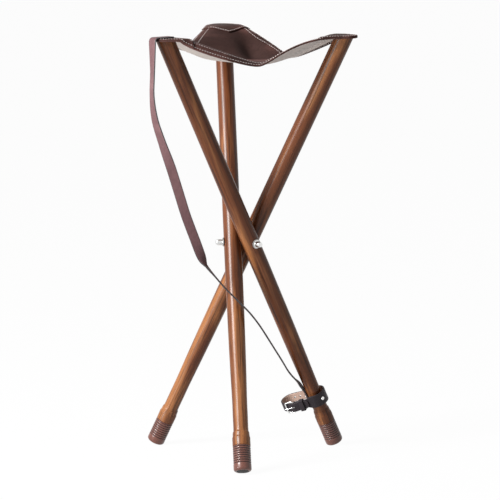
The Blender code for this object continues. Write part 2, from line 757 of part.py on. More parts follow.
rivet_profile = [
    (0.0, burr),
    (0.0030, burr),
    (0.0030, t0),
    (0.0015, t0),
    (0.0015, t1),
    (0.0030, t1),
    (0.0027, t1 + 0.0007),
    (0.0016, t1 + 0.0013),
    (0.0, t1 + 0.0015),
]
rivet = lathe("closure_rivet", rivet_profile, 20, CHROME, closure)
rivet.matrix_local = along(rivet_dir, rivet_dir * r_collar)

# Buckle
half_w = CLOSURE_WIDTH / 2 + 0.0004 + BAR
r_c = 0.0022
frame_line = []
corners = [
    (TOE - r_c, half_w - r_c, 0),
    (HEEL + r_c, half_w - r_c, 90),
    (HEEL + r_c, -half_w + r_c, 180),
    (TOE - r_c, -half_w + r_c, 270),
]
for p, z, start in corners:
    for k in range(5):
        a = math.radians(start + 22.5 * k)
        frame_line.append(run(p + r_c * math.cos(a), BAR_OFF, z + r_c * math.sin(a)))
wire("buckle_frame", frame_line, BAR, CHROME, closure, cyclic=True)

keeper_mid = run(HEEL - 0.0150, 0.0019)
keeper_turn = Matrix.Translation(keeper_mid) @ Matrix.Rotation(lean, 4, "Z")
bm = bmesh.new()
tall = 0.0074
bmesh.ops.create_cube(
    bm,
    size=1.0,
    matrix=keeper_turn @ Matrix.Diagonal((0.008, tall + 0.0030, CLOSURE_WIDTH + 0.0040, 1.0)),
)
keeper = from_bmesh("buckle_keeper", bm, STRAP, closure)
carve(keeper, "cut_keeper", (0.02, tall, CLOSURE_WIDTH + 0.0010), keeper_turn)

prong_pivot = empty("prong_pivot", closure, Matrix.Translation(run(HEEL, BAR_OFF)))
ring = BAR + GAP + PRONG
prong_line = []
for k in range(11):
    a = math.radians(-20.0 - 25.0 * k)
    prong_line.append(run_dir * (ring * math.cos(a)) + run_out * (ring * math.sin(a)))
prong_line.append(run_dir * (0.5 * (TOE - HEEL)) + run_out * ring)
prong_line.append(run_dir * (TOE - HEEL + 0.0030) + run_out * ring)
wire("buckle_prong", prong_line, PRONG, CHROME, prong_pivot)

# The origin goes to the middle of the box at floor level, the free strap left out
bpy.context.view_layer.update()
graph = bpy.context.evaluated_depsgraph_get()
low, high = Vector((9, 9, 9)), Vector((-9, -9, -9))
for o in parts.objects:
    if o.type not in {"MESH", "CURVE"} or o.name == "carry_strap":
        continue
    shown = o.evaluated_get(graph)
    mesh = shown.to_mesh()
    for v in mesh.vertices:
        p = o.matrix_world @ v.co
        low = Vector(map(min, low, p))
        high = Vector(map(max, high, p))
    shown.to_mesh_clear()
stool.location = (-(low.x + high.x) / 2, -(low.y + high.y) / 2, -low.z)
bpy.context.view_layer.update()
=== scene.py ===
"""Looks of a folding tripod stool: turned legs, a stitched leather sling, straps and fittings."""

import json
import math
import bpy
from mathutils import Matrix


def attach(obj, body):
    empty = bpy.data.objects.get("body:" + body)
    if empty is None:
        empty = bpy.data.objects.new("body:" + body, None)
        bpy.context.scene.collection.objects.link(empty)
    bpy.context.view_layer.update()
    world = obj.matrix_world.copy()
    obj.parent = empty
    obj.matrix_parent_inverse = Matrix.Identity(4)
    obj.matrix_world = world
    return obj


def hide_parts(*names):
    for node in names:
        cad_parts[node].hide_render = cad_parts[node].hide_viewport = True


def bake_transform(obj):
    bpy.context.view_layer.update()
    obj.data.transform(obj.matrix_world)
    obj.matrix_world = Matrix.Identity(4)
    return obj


bl_info = {
    "name": "Folding tripod stool",
    "version": (1, 0, 0),
    "blender": (4, 5, 0),
    "location": "View3D > Sidebar > Stool",
    "description": "Dresses the stool's solids with turned wood, stitched leather and metal",
    "category": "Object",
}

from contextlib import contextmanager

import bmesh
import bpy
from bpy.props import FloatProperty, FloatVectorProperty, IntProperty, PointerProperty
from mathutils import Matrix, Vector

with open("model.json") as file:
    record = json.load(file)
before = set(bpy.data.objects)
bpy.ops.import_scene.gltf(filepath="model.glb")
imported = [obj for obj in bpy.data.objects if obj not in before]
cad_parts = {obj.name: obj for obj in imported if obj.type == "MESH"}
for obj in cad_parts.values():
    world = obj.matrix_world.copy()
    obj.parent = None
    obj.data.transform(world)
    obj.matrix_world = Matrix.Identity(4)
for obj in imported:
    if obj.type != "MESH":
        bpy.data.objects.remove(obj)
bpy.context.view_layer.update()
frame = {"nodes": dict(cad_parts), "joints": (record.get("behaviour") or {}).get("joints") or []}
JOINTS = {joint["name"]: joint for joint in frame["joints"]}
SIDES = ("left", "back", "right")
SPLAY = math.radians(JOINTS["left_leg_fold"]["range_deg"][1])
UP = Vector((0.0, 0.0, 1.0))
FULL_TURN = 2.0 * math.pi
SIXTY = math.pi / 3.0
# The gap between two pieces that touch
CLEAR = 0.0003
# The radius of the holes that the bolt goes through
BOLT_HOLE = 0.0033
# A strap's rounded edge: how far in it starts, in thicknesses, and the angles of its points
ROUND_EDGE = 0.42
EDGE_ANGLES = (55.0, 20.0, -20.0, -55.0)


def leg_frame(side):
    """A leg's own frame: X out along its bolt arm, Z up the leg, origin on the bolt."""
    fold = JOINTS[f"{side}_leg_fold"]
    out = -Vector(fold["axis"]).normalized()
    rise = UP * math.cos(SPLAY) - UP.cross(out) * math.sin(SPLAY)
    turn = Matrix((out, rise.cross(out), rise)).transposed().to_4x4()
    return Matrix.Translation(fold["pos_m"]) @ turn


LEG = {side: leg_frame(side) for side in SIDES}
UP_IN_LEG = Vector((0.0, math.sin(SPLAY), math.cos(SPLAY)))


def from_screen(red, green, blue):
    """A linear colour from the 0 to 255 values that a screen shows."""
    shares = (red / 255.0, green / 255.0, blue / 255.0)
    return tuple(c / 12.92 if c < 0.04045 else ((c + 0.055) / 1.055) ** 2.4 for c in shares)


def length(name, default, description):
    return FloatProperty(
        name=name, description=description, default=default, min=0.0, unit="LENGTH", precision=4
    )


def colour(name, default, description):
    return FloatVectorProperty(
        name=name, description=description, default=default, min=0.0, max=1.0, subtype="COLOR"
    )


# Sizes and colours


class StoolLegSizes(bpy.types.PropertyGroup):
    """Sizes of the legs and feet"""

    length: length("Length", 0.770, "From the foot's end to the level cut at the top, along the leg")
    diameter: length("Diameter", 0.029, "Of the upper leg")
    ankle: length("Ankle", 0.0244, "Diameter of the waist above the foot")
    foot: length("Foot", 0.0292, "Diameter of the foot and of the wooden band over it")
    ferrule: length("Ferrule", 0.042, "Height of the ribbed foot")
    pivot: length("Pivot", 0.3904, "From the foot's end to the bolt, along the leg")
    pad: length("Pad", 0.019, "Diameter of the black disc under the foot")
    ribs: IntProperty(name="Ribs", description="Grooves round the foot", default=8, min=1)


class StoolSeatSizes(bpy.types.PropertyGroup):
    """Sizes of the leather seat"""

    corner: length("Corner radius", 0.023, "Of the rounded corner over each leg")
    thickness: length("Thickness", 0.0028, "Of the sling with its border")
    border_step: length("Border step", 0.0005, "How far the doubled border stands over the middle")
    border: length("Border", 0.0145, "Width of the doubled border")
    turn_under: length("Turn under", 0.0045, "Width of the grain side that shows underneath")
    sag: length("Sag", 0.044, "Of the middle, below the leg tops")
    back_left_sag: length("Sag, back left", 0.027, "Of the middle of the edge behind on the left")
    front_sag: length("Sag, front", 0.043, "Of the middle of the front edge")
    back_right_sag: length("Sag, back right", 0.043, "Of the middle of the edge behind on the right")
    left_fall: length("Fall, left", 0.130, "From the left leg to where the leather is at its lowest")
    back_fall: length("Fall, back", 0.105, "From the back leg to where the leather is at its lowest")
    right_fall: length("Fall, right", 0.100, "From the right leg to where the leather is at its lowest")
    patch_reach: length("Patch reach", 0.046, "From the leg's middle to the patch's point")
    patch_thickness: length("Patch thickness", 0.0013, "Of the leather on each corner")
    stitch_pitch: length("Stitch pitch", 0.0044, "From one stitch to the next")
    stitch_width: length("Stitch width", 0.0009, "Thickness of the thread")
    outer_row: length("Outer row", 0.0028, "From the edge to the outer row of stitches")
    inner_row: length("Inner row", 0.0116, "From the edge to the inner row of stitches")


class StoolStrapSizes(bpy.types.PropertyGroup):
    """Sizes of the straps and the buckle"""

    carry_width: length("Carrying strap", 0.016, "Width of the carrying strap")
    carry_thickness: length("Carrying strap thickness", 0.0022, "Of the carrying strap")
    loop_width: length("Loop", 0.016, "Width of the closure strap's loop")
    collar_width: length("Collar", 0.022, "Width of the closure strap round the leg")
    thickness: length("Thickness", 0.0022, "Of the closure strap")
    height: length("Height", 0.090, "Of the closure strap above the foot's end, along the leg")
    reach: length("Reach", 0.0605, "From the leg's middle to the loop's tip")
    slack: length("Slack", 0.0023, "Between the strap's end on the leg and the collar")
    stud: length("Stud", 0.005, "Diameter of the stud that holds the carrying strap's end")
    bar: length("Buckle bar", 0.0024, "Diameter of the buckle's wire")
    prong: length("Prong", 0.0016, "Diameter of the buckle's prong")


class StoolColours(bpy.types.PropertyGroup):
    """Colours of all pieces and of the floor"""

    wood: colour("Wood", from_screen(99, 55, 31), "Of the lacquered wood")
    wood_dark: colour("Wood streaks", from_screen(44, 22, 15), "Of the dark streaks")
    wood_light: colour("Wood lights", from_screen(144, 94, 57), "Of the light streaks")
    seat: colour("Seat", from_screen(62, 45, 42), "Of the seat's grain side")
    seat_worn: colour("Seat worn", from_screen(126, 87, 81), "Where the seat is rubbed")
    suede: colour("Flesh side", from_screen(192, 180, 172), "Of the seat's underside")
    thread: colour("Thread", from_screen(226, 214, 210), "Of the stitches")
    strap: colour("Strap", from_screen(96, 69, 71), "Of the carrying strap")
    strap_worn: colour("Strap worn", from_screen(126, 95, 96), "Where the carrying strap is rubbed")
    strap_edge: colour("Strap edge", from_screen(48, 44, 46), "Of the carrying strap's cut edges")
    closure: colour("Closure strap", from_screen(44, 38, 42), "Of the closure strap's outside")
    closure_inside: colour("Closure inside", from_screen(192, 163, 148), "Of its flesh side")
    rubber: colour("Foot", from_screen(101, 61, 51), "Of the ribbed feet")
    # The foot grooves' colour is painted shade: a darker rubber that stands in for the shade in the
    # grooves
    painted_groove_shade: colour("Foot grooves", from_screen(50, 29, 27), "Of the darker rubber in the grooves")
    pad: colour("Pad", from_screen(24, 23, 22), "Of the discs under the feet")
    chrome: colour("Chrome", (0.78, 0.78, 0.77), "Of the nuts, buckle, rivet and stud")
    steel: colour("Steel", (0.56, 0.55, 0.53), "Of the bolt, washers and seat screws")
    floor: colour("Floor", (0.86, 0.86, 0.86), "Of the studio floor")


# Modelling helpers


def only(piece):
    """Selects one object and makes it active."""
    bpy.ops.object.select_all(action="DESELECT")
    piece.select_set(True)
    bpy.context.view_layer.objects.active = piece


def new_object(name, data):
    """An object for a mesh, curve, lamp or camera, linked to the scene."""
    made = bpy.data.objects.new(name, data)
    bpy.context.scene.collection.objects.link(made)
    return made


@contextmanager
def edit_mode(piece):
    """Edit mode on one object, with all of it selected."""
    only(piece)
    bpy.ops.object.mode_set(mode="EDIT")
    bpy.ops.mesh.select_all(action="SELECT")
    yield
    bpy.ops.object.mode_set(mode="OBJECT")


def close_up(piece):
    """Merges doubles and turns the faces outwards."""
    with edit_mode(piece):
        bpy.ops.mesh.remove_doubles(threshold=1e-6)
        bpy.ops.mesh.normals_make_consistent(inside=False)


def place(piece, matrix):
    """Moves a piece and applies the move to its mesh."""
    piece.matrix_world = matrix
    only(piece)
    bpy.ops.object.transform_apply(location=True, rotation=True, scale=True)


def copy_of(model, name, matrix):
    """A placed copy of a model, with a mesh of its own."""
    copy = new_object(name, model.data.copy())
    place(copy, matrix)
    return copy


def discard(*models):
    for model in models:
        bpy.data.objects.remove(model, do_unlink=True)


def turned(name, profile, sides, ring=False):
    """A turned piece about Z: a circle that is extruded and resized through (radius, height) pairs."""
    bpy.ops.object.select_all(action="DESELECT")
    radius, height = profile[0]
    bpy.ops.mesh.primitive_circle_add(
        vertices=sides,
        radius=radius,
        fill_type="NOTHING" if ring else "NGON",
        location=(0.0, 0.0, height),
    )
    piece = bpy.context.object
    piece.name = piece.data.name = name
    bpy.ops.object.transform_apply(location=True)
    with edit_mode(piece):
        for next_radius, next_height in profile[1:] + (profile[:1] if ring else []):
            bpy.ops.mesh.extrude_region_move(
                TRANSFORM_OT_translate={"value": (0.0, 0.0, next_height - height)}
            )
            share = next_radius / radius
            bpy.ops.transform.resize(
                value=(share, share, 1.0), center_override=(0.0, 0.0, next_height)
            )
            radius, height = next_radius, next_height
    close_up(piece)
    return piece


def dome(radius, base, tall, steps=9):
    """Profile points of a round head, from its edge to just short of its middle."""
    angles = [math.radians(90.0 * k / steps) for k in range(steps)]
    return [(radius * math.cos(a), base + tall * math.sin(a)) for a in angles]


def along(direction, centre):
    """A matrix that turns Z to a direction, at a centre."""
    turn = UP.rotation_difference(Vector(direction))
    return Matrix.Translation(centre) @ turn.to_matrix().to_4x4()


def toward(angle):
    """The level direction at an angle from X."""
    return Vector((math.cos(angle), math.sin(angle), 0.0))


def bore(piece, radius, depth, matrix, sides=24):
    """Drills a hole with a cylinder that is removed afterwards."""
    bpy.ops.object.select_all(action="DESELECT")
    bpy.ops.mesh.primitive_cylinder_add(vertices=sides, radius=radius, depth=depth)
    drill = bpy.context.object
    drill.matrix_world = matrix
    only(piece)
    cut = piece.modifiers.new("bore", "BOOLEAN")
    cut.operation = "DIFFERENCE"
    cut.solver = "EXACT"
    cut.object = drill
    bpy.ops.object.modifier_apply(modifier=cut.name)
    discard(drill)


def slice_off(piece, point, normal):
    """Cuts the piece flat and keeps what lies behind the plane."""
    with edit_mode(piece):
        bpy.ops.mesh.bisect(plane_co=point, plane_no=normal, use_fill=True, clear_outer=True)


def wire(name, points, radius, cyclic=False):
    """A bent round wire along a line of points, made a mesh."""
    line = bpy.data.curves.new(name, "CURVE")
    line.dimensions = "3D"
    line.bevel_depth = radius
    line.bevel_resolution = 4
    line.use_fill_caps = not cyclic
    spline = line.splines.new("POLY")
    spline.points.add(len(points) - 1)
    for knot, point in zip(spline.points, points):
        knot.co = (*point, 1.0)
    spline.use_cyclic_u = cyclic
    only(new_object(name, line))
    bpy.ops.object.convert(target="MESH")
    close_up(bpy.context.object)
    return bpy.context.object


def mesh_piece(name, points, faces):
    mesh = bpy.data.meshes.new(name)
    mesh.from_pydata([tuple(p) for p in points], [], faces)
    mesh.validate()
    return new_object(name, mesh)


def strip(name, rows, ring=False):
    """A strip through rows of points, each a loop round its section, closed by caps or on itself."""
    count, total = len(rows[0]), len(rows)
    faces = []
    for k in range(total if ring else total - 1):
        here, there = k * count, (k + 1) % total * count
        for j in range(count):
            i = (j + 1) % count
            faces.append((here + j, here + i, there + i, there + j))
    if not ring:
        last = (total - 1) * count
        faces.append(tuple(range(count - 1, -1, -1)))
        faces.append(tuple(last + j for j in range(count)))
    piece = mesh_piece(name, [p for row in rows for p in row], faces)
    close_up(piece)
    return piece


def strap_section(width, thickness, steps=8):
    """Points (across, off) round a flat strap's section with rounded edges."""
    round_edge = ROUND_EDGE * thickness
    inner = width / 2.0 - round_edge
    flat = [(-inner + 2.0 * inner * k / steps, thickness / 2.0) for k in range(steps + 1)]
    edge = [
        (inner + round_edge * math.cos(a), thickness / 2.0 * math.sin(a))
        for a in map(math.radians, EDGE_ANGLES)
    ]
    return flat + edge + [(-x, -y) for x, y in flat] + [(-x, -y) for x, y in edge]


def smooth_line(points, per):
    """A Catmull-Rom line through a list of vectors, with the parameter of each point."""
    ends = [points[0] * 2 - points[1]] + list(points) + [points[-1] * 2 - points[-2]]
    line = []
    for i in range(len(points) - 1):
        a, b, c, d = ends[i : i + 4]
        for k in range(per):
            t = k / per
            p = b * 2 + (c - a) * t + (a * 2 - b * 5 + c * 4 - d) * t * t
            line.append(((p + (b * 3 - a - c * 3 + d) * t**3) * 0.5, i + t))
    line.append((points[-1].copy(), float(len(points) - 1)))
    return line


def heading(line, k):
    """The direction of a line of points at one of them."""
    return (line[min(k + 1, len(line) - 1)] - line[max(k - 1, 0)]).normalized()


def level(table, x):
    """Straight-line interpolation in a table of (x, value) pairs."""
    if x <= table[0][0]:
        return table[0][1]
    for (x0, y0), (x1, y1) in zip(table, table[1:]):
        if x <= x1:
            return y0 + (y1 - y0) * (x - x0) / (x1 - x0)
    return table[-1][1]


def held(x):
    """A number held between 0 and 1."""
    return min(max(x, 0.0), 1.0)


def ease(x):
    """A smooth step from 0 to 1."""
    x = held(x)
    return x * x * (3.0 - 2.0 * x)


def dress(piece, materials, body, nodes, angle):
    """Gives a finished piece its materials, shading, body and the solids that it stands for."""
    piece.data.materials.clear()
    for material in materials:
        piece.data.materials.append(material)
    only(piece)
    bpy.ops.object.shade_smooth_by_angle(angle=math.radians(angle))
    if body:
        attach(piece, body)
    if nodes:
        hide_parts(*nodes)


# Finishes


def set_sockets(tree, target, sockets):
    """Links each of a node's sockets to another node's output, or sets its value."""
    for socket, value in sockets.items():
        if isinstance(value, bpy.types.NodeSocket):
            tree.links.new(value, target.inputs[socket])
        else:
            target.inputs[socket].default_value = value


def node(tree, kind, sockets=None, **settings):
    """Adds a shader node with its settings and sockets, and gives its outputs."""
    made = tree.nodes.new(f"ShaderNode{kind}")
    for setting, value in settings.items():
        setattr(made, setting, value)
    set_sockets(tree, made, sockets or {})
    return made.outputs


def stretched(tree, vector, scale):
    return node(tree, "VectorMath", {0: vector, 1: scale}, operation="MULTIPLY")["Vector"]


def noise(tree, vector, detail, scale=1.0, roughness=0.55, distortion=0.0):
    sockets = {"Vector": vector, "Scale": scale, "Detail": detail}
    sockets |= {"Roughness": roughness, "Distortion": distortion}
    return node(tree, "TexNoise", sockets)["Fac"]


def spread(tree, value, low, high, to_low=0.0, to_high=1.0):
    sockets = {"Value": value, "From Min": low, "From Max": high, "To Min": to_low, "To Max": to_high}
    return node(tree, "MapRange", sockets, interpolation_type="SMOOTHSTEP")["Result"]


def combine(tree, operation, first, second):
    return node(tree, "Math", {0: first, 1: second}, operation=operation)["Value"]


def mix_colour(tree, share, first, second, blend="MIX"):
    """Mixes two colours. The mix node's colour sockets are told apart by number only."""
    return node(tree, "Mix", {0: share, 6: first, 7: second}, data_type="RGBA", blend_type=blend)[2]


def new_group(name, colours, numbers=()):
    """A shader group that makes a finish from a vector, colours and numbers, and its two ends."""
    tree = bpy.data.node_groups.new(name, "ShaderNodeTree")
    inputs = [("Vector", "Vector")]
    inputs += [(label, "Color") for label in colours]
    inputs += [(label, "Float") for label in numbers]
    outputs = [("Color", "Color"), ("Roughness", "Float"), ("Height", "Float")]
    for way, sockets in (("INPUT", inputs), ("OUTPUT", outputs)):
        for label, kind in sockets:
            tree.interface.new_socket(label, in_out=way, socket_type=f"NodeSocket{kind}")
    return tree, tree.nodes.new("NodeGroupInput").outputs, tree.nodes.new("NodeGroupOutput")


def wood_grain_group():
    """Long streaks, slow changes of tone and fine pores along Z."""
    tree, start, end = new_group("wood_grain", ("Wood", "Dark", "Light"))
    where = start["Vector"]
    fine, slow = stretched(tree, where, (260.0, 260.0, 8.0)), stretched(tree, where, (42.0, 42.0, 5.0))
    streaks = noise(tree, fine, detail=5.0, roughness=0.6, distortion=0.6)
    tone = noise(tree, slow, detail=3.0, roughness=0.5, distortion=0.4)
    pores = noise(tree, stretched(tree, where, (1500.0, 1500.0, 42.0)), detail=2.0, roughness=0.6)
    dark = spread(tree, streaks, 0.44, 0.72, 0.0, 0.9)
    light = spread(tree, tone, 0.46, 0.66)
    pore = spread(tree, pores, 0.56, 0.72)
    plain = mix_colour(tree, light, start["Wood"], start["Light"])
    streaked = mix_colour(tree, dark, plain, start["Dark"])
    results = {
        "Color": mix_colour(tree, combine(tree, "MULTIPLY", pore, 0.45), streaked, start["Dark"]),
        "Roughness": spread(tree, streaks, 0.3, 0.75, 0.24, 0.38),
        "Height": combine(tree, "MULTIPLY", pore, -0.6),
    }
    set_sockets(tree, end, results)
    return tree


def leather_grain_group():
    """A fine pebble with creases darkened by painted shade, cloudy tone and rubbed high spots."""
    tree, start, end = new_group("leather_grain", ("Leather", "Worn"), ("Pebble", "Wear"))
    where = start["Vector"]
    cells = node(tree, "TexVoronoi", {"Vector": where, "Scale": start["Pebble"]}, feature="SMOOTH_F1")
    fine = noise(tree, where, scale=2600.0, detail=2.0)
    cloud = noise(tree, where, scale=13.0, detail=2.0, roughness=0.45, distortion=0.3)
    long = stretched(tree, where, (140.0, 140.0, 60.0))
    crease = noise(tree, long, detail=5.0, roughness=0.65, distortion=1.2)
    rubbed = combine(tree, "MULTIPLY", spread(tree, cloud, 0.42, 0.72), start["Wear"])
    mixed = mix_colour(tree, rubbed, start["Leather"], start["Worn"])
    # The creases' colour is darkened where their bump is low: painted shade
    shade = spread(tree, crease, 0.35, 0.6, 0.55, 1.0)
    pebble = combine(tree, "ADD", combine(tree, "MULTIPLY", cells["Distance"], -0.8), fine)
    results = {
        "Color": mix_colour(tree, 0.35, mixed, shade, "MULTIPLY"),
        "Roughness": spread(tree, cloud, 0.3, 0.75, 0.52, 0.38),
        "Height": combine(tree, "ADD", pebble, crease),
    }
    set_sockets(tree, end, results)
    return tree


def mottled_group():
    """Soft two-tone speckle for suede, rubber, thread and the fine marks on metal."""
    numbers = ("Scale", "Rough Low", "Rough High")
    tree, start, end = new_group("mottled", ("First", "Second"), numbers)
    where = start["Vector"]
    grain = noise(tree, where, scale=start["Scale"], detail=4.0, roughness=0.62)
    cloud = noise(tree, where, scale=38.0, detail=3.0)
    share = combine(tree, "MULTIPLY", combine(tree, "ADD", grain, cloud), 0.5)
    even = spread(tree, share, 0.36, 0.64)
    rough = {"Value": even, "To Min": start["Rough Low"], "To Max": start["Rough High"]}
    results = {
        "Color": mix_colour(tree, even, start["First"], start["Second"]),
        "Roughness": node(tree, "MapRange", rough)["Result"],
        "Height": grain,
    }
    set_sockets(tree, end, results)
    return tree


GROUPS = {"wood_grain": wood_grain_group, "leather_grain": leather_grain_group, "mottled": mottled_group}


def finish(name, group, values, bump, depth=0.0003, matrix=None, shine=None):
    """A material: Object coordinates, one shared group, a bump and the shader."""
    label = f"stool_{name}"
    known = bpy.data.materials.get(label)
    if known:
        return known
    made = bpy.data.materials.new(label)
    made.use_nodes = True
    tree = made.node_tree
    where = node(tree, "TexCoord")["Object"]
    if matrix is not None:
        back = matrix.inverted()
        turn = {"Vector": where, "Location": back.to_translation(), "Rotation": back.to_euler("XYZ")}
        where = node(tree, "Mapping", turn)["Vector"]
    sockets = {"Vector": where}
    for socket, value in values.items():
        sockets[socket] = (*value, 1.0) if hasattr(value, "__len__") else value
    shared = bpy.data.node_groups.get(group) or GROUPS[group]()
    effect = node(tree, "Group", sockets, node_tree=shared)
    relief = node(tree, "Bump", {"Strength": bump, "Distance": depth, "Height": effect["Height"]})
    surface = {
        "Base Color": effect["Color"],
        "Roughness": effect["Roughness"],
        "Normal": relief["Normal"],
    }
    set_sockets(tree, tree.nodes["Principled BSDF"], surface | (shine or {}))
    return made


def leather_finish(name, base, worn, pebble, wear, bump, specular=0.2):
    values = {"Leather": base, "Worn": worn, "Pebble": pebble, "Wear": wear}
    shine = {"Specular IOR Level": specular}
    return finish(name, "leather_grain", values, bump, depth=0.0005, shine=shine)


def mottled_finish(name, first, second, scale, rough, bump, shine=None):
    values = {"First": first, "Second": second, "Scale": scale}
    values["Rough Low"], values["Rough High"] = rough
    return finish(name, "mottled", values, bump, shine=shine)


def shaded(paint, share):
    return tuple(c * share for c in paint)


def wood_finish(side, paint):
    values = {"Wood": paint.wood, "Dark": paint.wood_dark, "Light": paint.wood_light}
    lacquer = {"Coat Weight": 0.44, "Coat Roughness": 0.32, "Specular IOR Level": 0.02}
    name = f"lacquered_wood_{side}"
    return finish(name, "wood_grain", values, bump=0.06, matrix=LEG[side], shine=lacquer)


def chrome_finish(paint):
    worn = shaded(paint.chrome, 0.93)
    look = {"scale": 60.0, "rough": (0.06, 0.16), "bump": 0.02}
    return mottled_finish("chrome", paint.chrome, worn, shine={"Metallic": 1.0}, **look)


def steel_finish(paint):
    worn = shaded(paint.steel, 0.8)
    look = {"scale": 500.0, "rough": (0.25, 0.4), "bump": 0.05}
    return mottled_finish("plain_steel", paint.steel, worn, shine={"Metallic": 1.0}, **look)


def rubber_finish(paint):
    dull = shaded(paint.rubber, 0.85)
    look = {"scale": 160.0, "rough": (0.22, 0.32), "bump": 0.0}
    return mottled_finish("ribbed_rubber", dull, paint.rubber, **look)


# The grooves' darker rubber is painted shade
def shaded_groove_finish(paint):
    dull = shaded(paint.painted_groove_shade, 0.8)
    look = {"scale": 160.0, "rough": (0.5, 0.6), "bump": 0.0}
    return mottled_finish("groove_rubber_painted_shade", dull, paint.painted_groove_shade, **look)


def pad_finish(paint):
    dusty = shaded(paint.pad, 1.8)
    look = {"scale": 600.0, "rough": (0.6, 0.75), "bump": 0.2}
    return mottled_finish("black_rubber", paint.pad, dusty, **look)


def seat_finish(paint):
    look = {"pebble": 850.0, "wear": 0.55, "bump": 0.35, "specular": 0.012}
    return leather_finish("seat_leather", paint.seat, paint.seat_worn, **look)


def flesh_finish(paint):
    dark = shaded(paint.suede, 0.86)
    look = {"scale": 1400.0, "rough": (0.9, 0.98), "bump": 0.5}
    return mottled_finish("flesh_side", dark, paint.suede, shine={"Sheen Weight": 0.25}, **look)


def thread_finish(paint):
    dark = shaded(paint.thread, 0.82)
    look = {"scale": 2200.0, "rough": (0.5, 0.65), "bump": 0.4}
    return mottled_finish("waxed_thread", dark, paint.thread, **look)


def strap_finish(paint):
    look = {"pebble": 1100.0, "wear": 0.6, "bump": 0.25}
    return leather_finish("strap_leather", paint.strap, paint.strap_worn, **look)


def strap_edge_finish(paint):
    worn = shaded(paint.strap_edge, 1.3)
    look = {"scale": 900.0, "rough": (0.4, 0.6), "bump": 0.1}
    return mottled_finish("strap_edge", paint.strap_edge, worn, **look)


def closure_finish(paint):
    worn = shaded(paint.closure, 1.7)
    look = {"pebble": 1000.0, "wear": 0.4, "bump": 0.3}
    return leather_finish("closure_leather", paint.closure, worn, **look)


def closure_flesh_finish(paint):
    dark = shaded(paint.closure_inside, 0.8)
    look = {"scale": 1300.0, "rough": (0.8, 0.92), "bump": 0.4}
    return mottled_finish("closure_flesh_side", dark, paint.closure_inside, **look)


# Legs and feet


class STOOL_OT_legs(bpy.types.Operator):
    """Turns the three legs, drills them for the bolt and cuts their tops level"""

    bl_idname = "stool.legs"
    bl_label = "Turned legs"

    # Wood that the level cut takes off the top, and the length of the bolt's drill
    SPARE_TOP = 0.02
    BORE_DEPTH = 0.1

    def execute(self, context):
        size, paint = context.scene.stool_legs, context.scene.stool_colours
        foot, above = -size.pivot, size.length - size.pivot
        thin, thick, band = size.ankle / 2.0, size.diameter / 2.0, size.foot / 2.0
        grow = thick - thin
        start = size.ferrule + CLEAR
        # Radius of the turning, and height above the ribbed foot
        turning = [
            (band, 0.0135),
            (band - 0.0008, 0.0165),
            (thin + 0.0012, 0.0225),
            (thin, 0.0265),
            (thin, 0.0520),
            (thin, 0.0775),
            (thin + 0.45 * grow, 0.1370),
            (thin + 0.75 * grow, 0.2000),
            (thick, 0.3070),
        ]
        knots = [Vector((radius, start + rise)) for radius, rise in turning]
        profile = [(band - 0.006, foot + start), (band - 0.0004, foot + start)]
        profile += [(band, foot + start + 0.0005)]
        profile += [(p.x, foot + p.y) for p, _ in smooth_line(knots, 4)]
        profile += [(thick, 0.5 * above), (thick, above + self.SPARE_TOP)]
        leg = turned("turned_leg", profile, 56)
        bore(leg, BOLT_HOLE, self.BORE_DEPTH, Matrix.Rotation(math.pi / 2, 4, "Y"))
        slice_off(leg, (0.0, 0.0, above), UP_IN_LEG)
        for side in SIDES:
            copy = copy_of(leg, f"turned_leg_{side}", LEG[side])
            dress(copy, [wood_finish(side, paint)], f"{side}_leg", [f"leg_{side}"], 30.0)
        discard(leg)
        return {"FINISHED"}


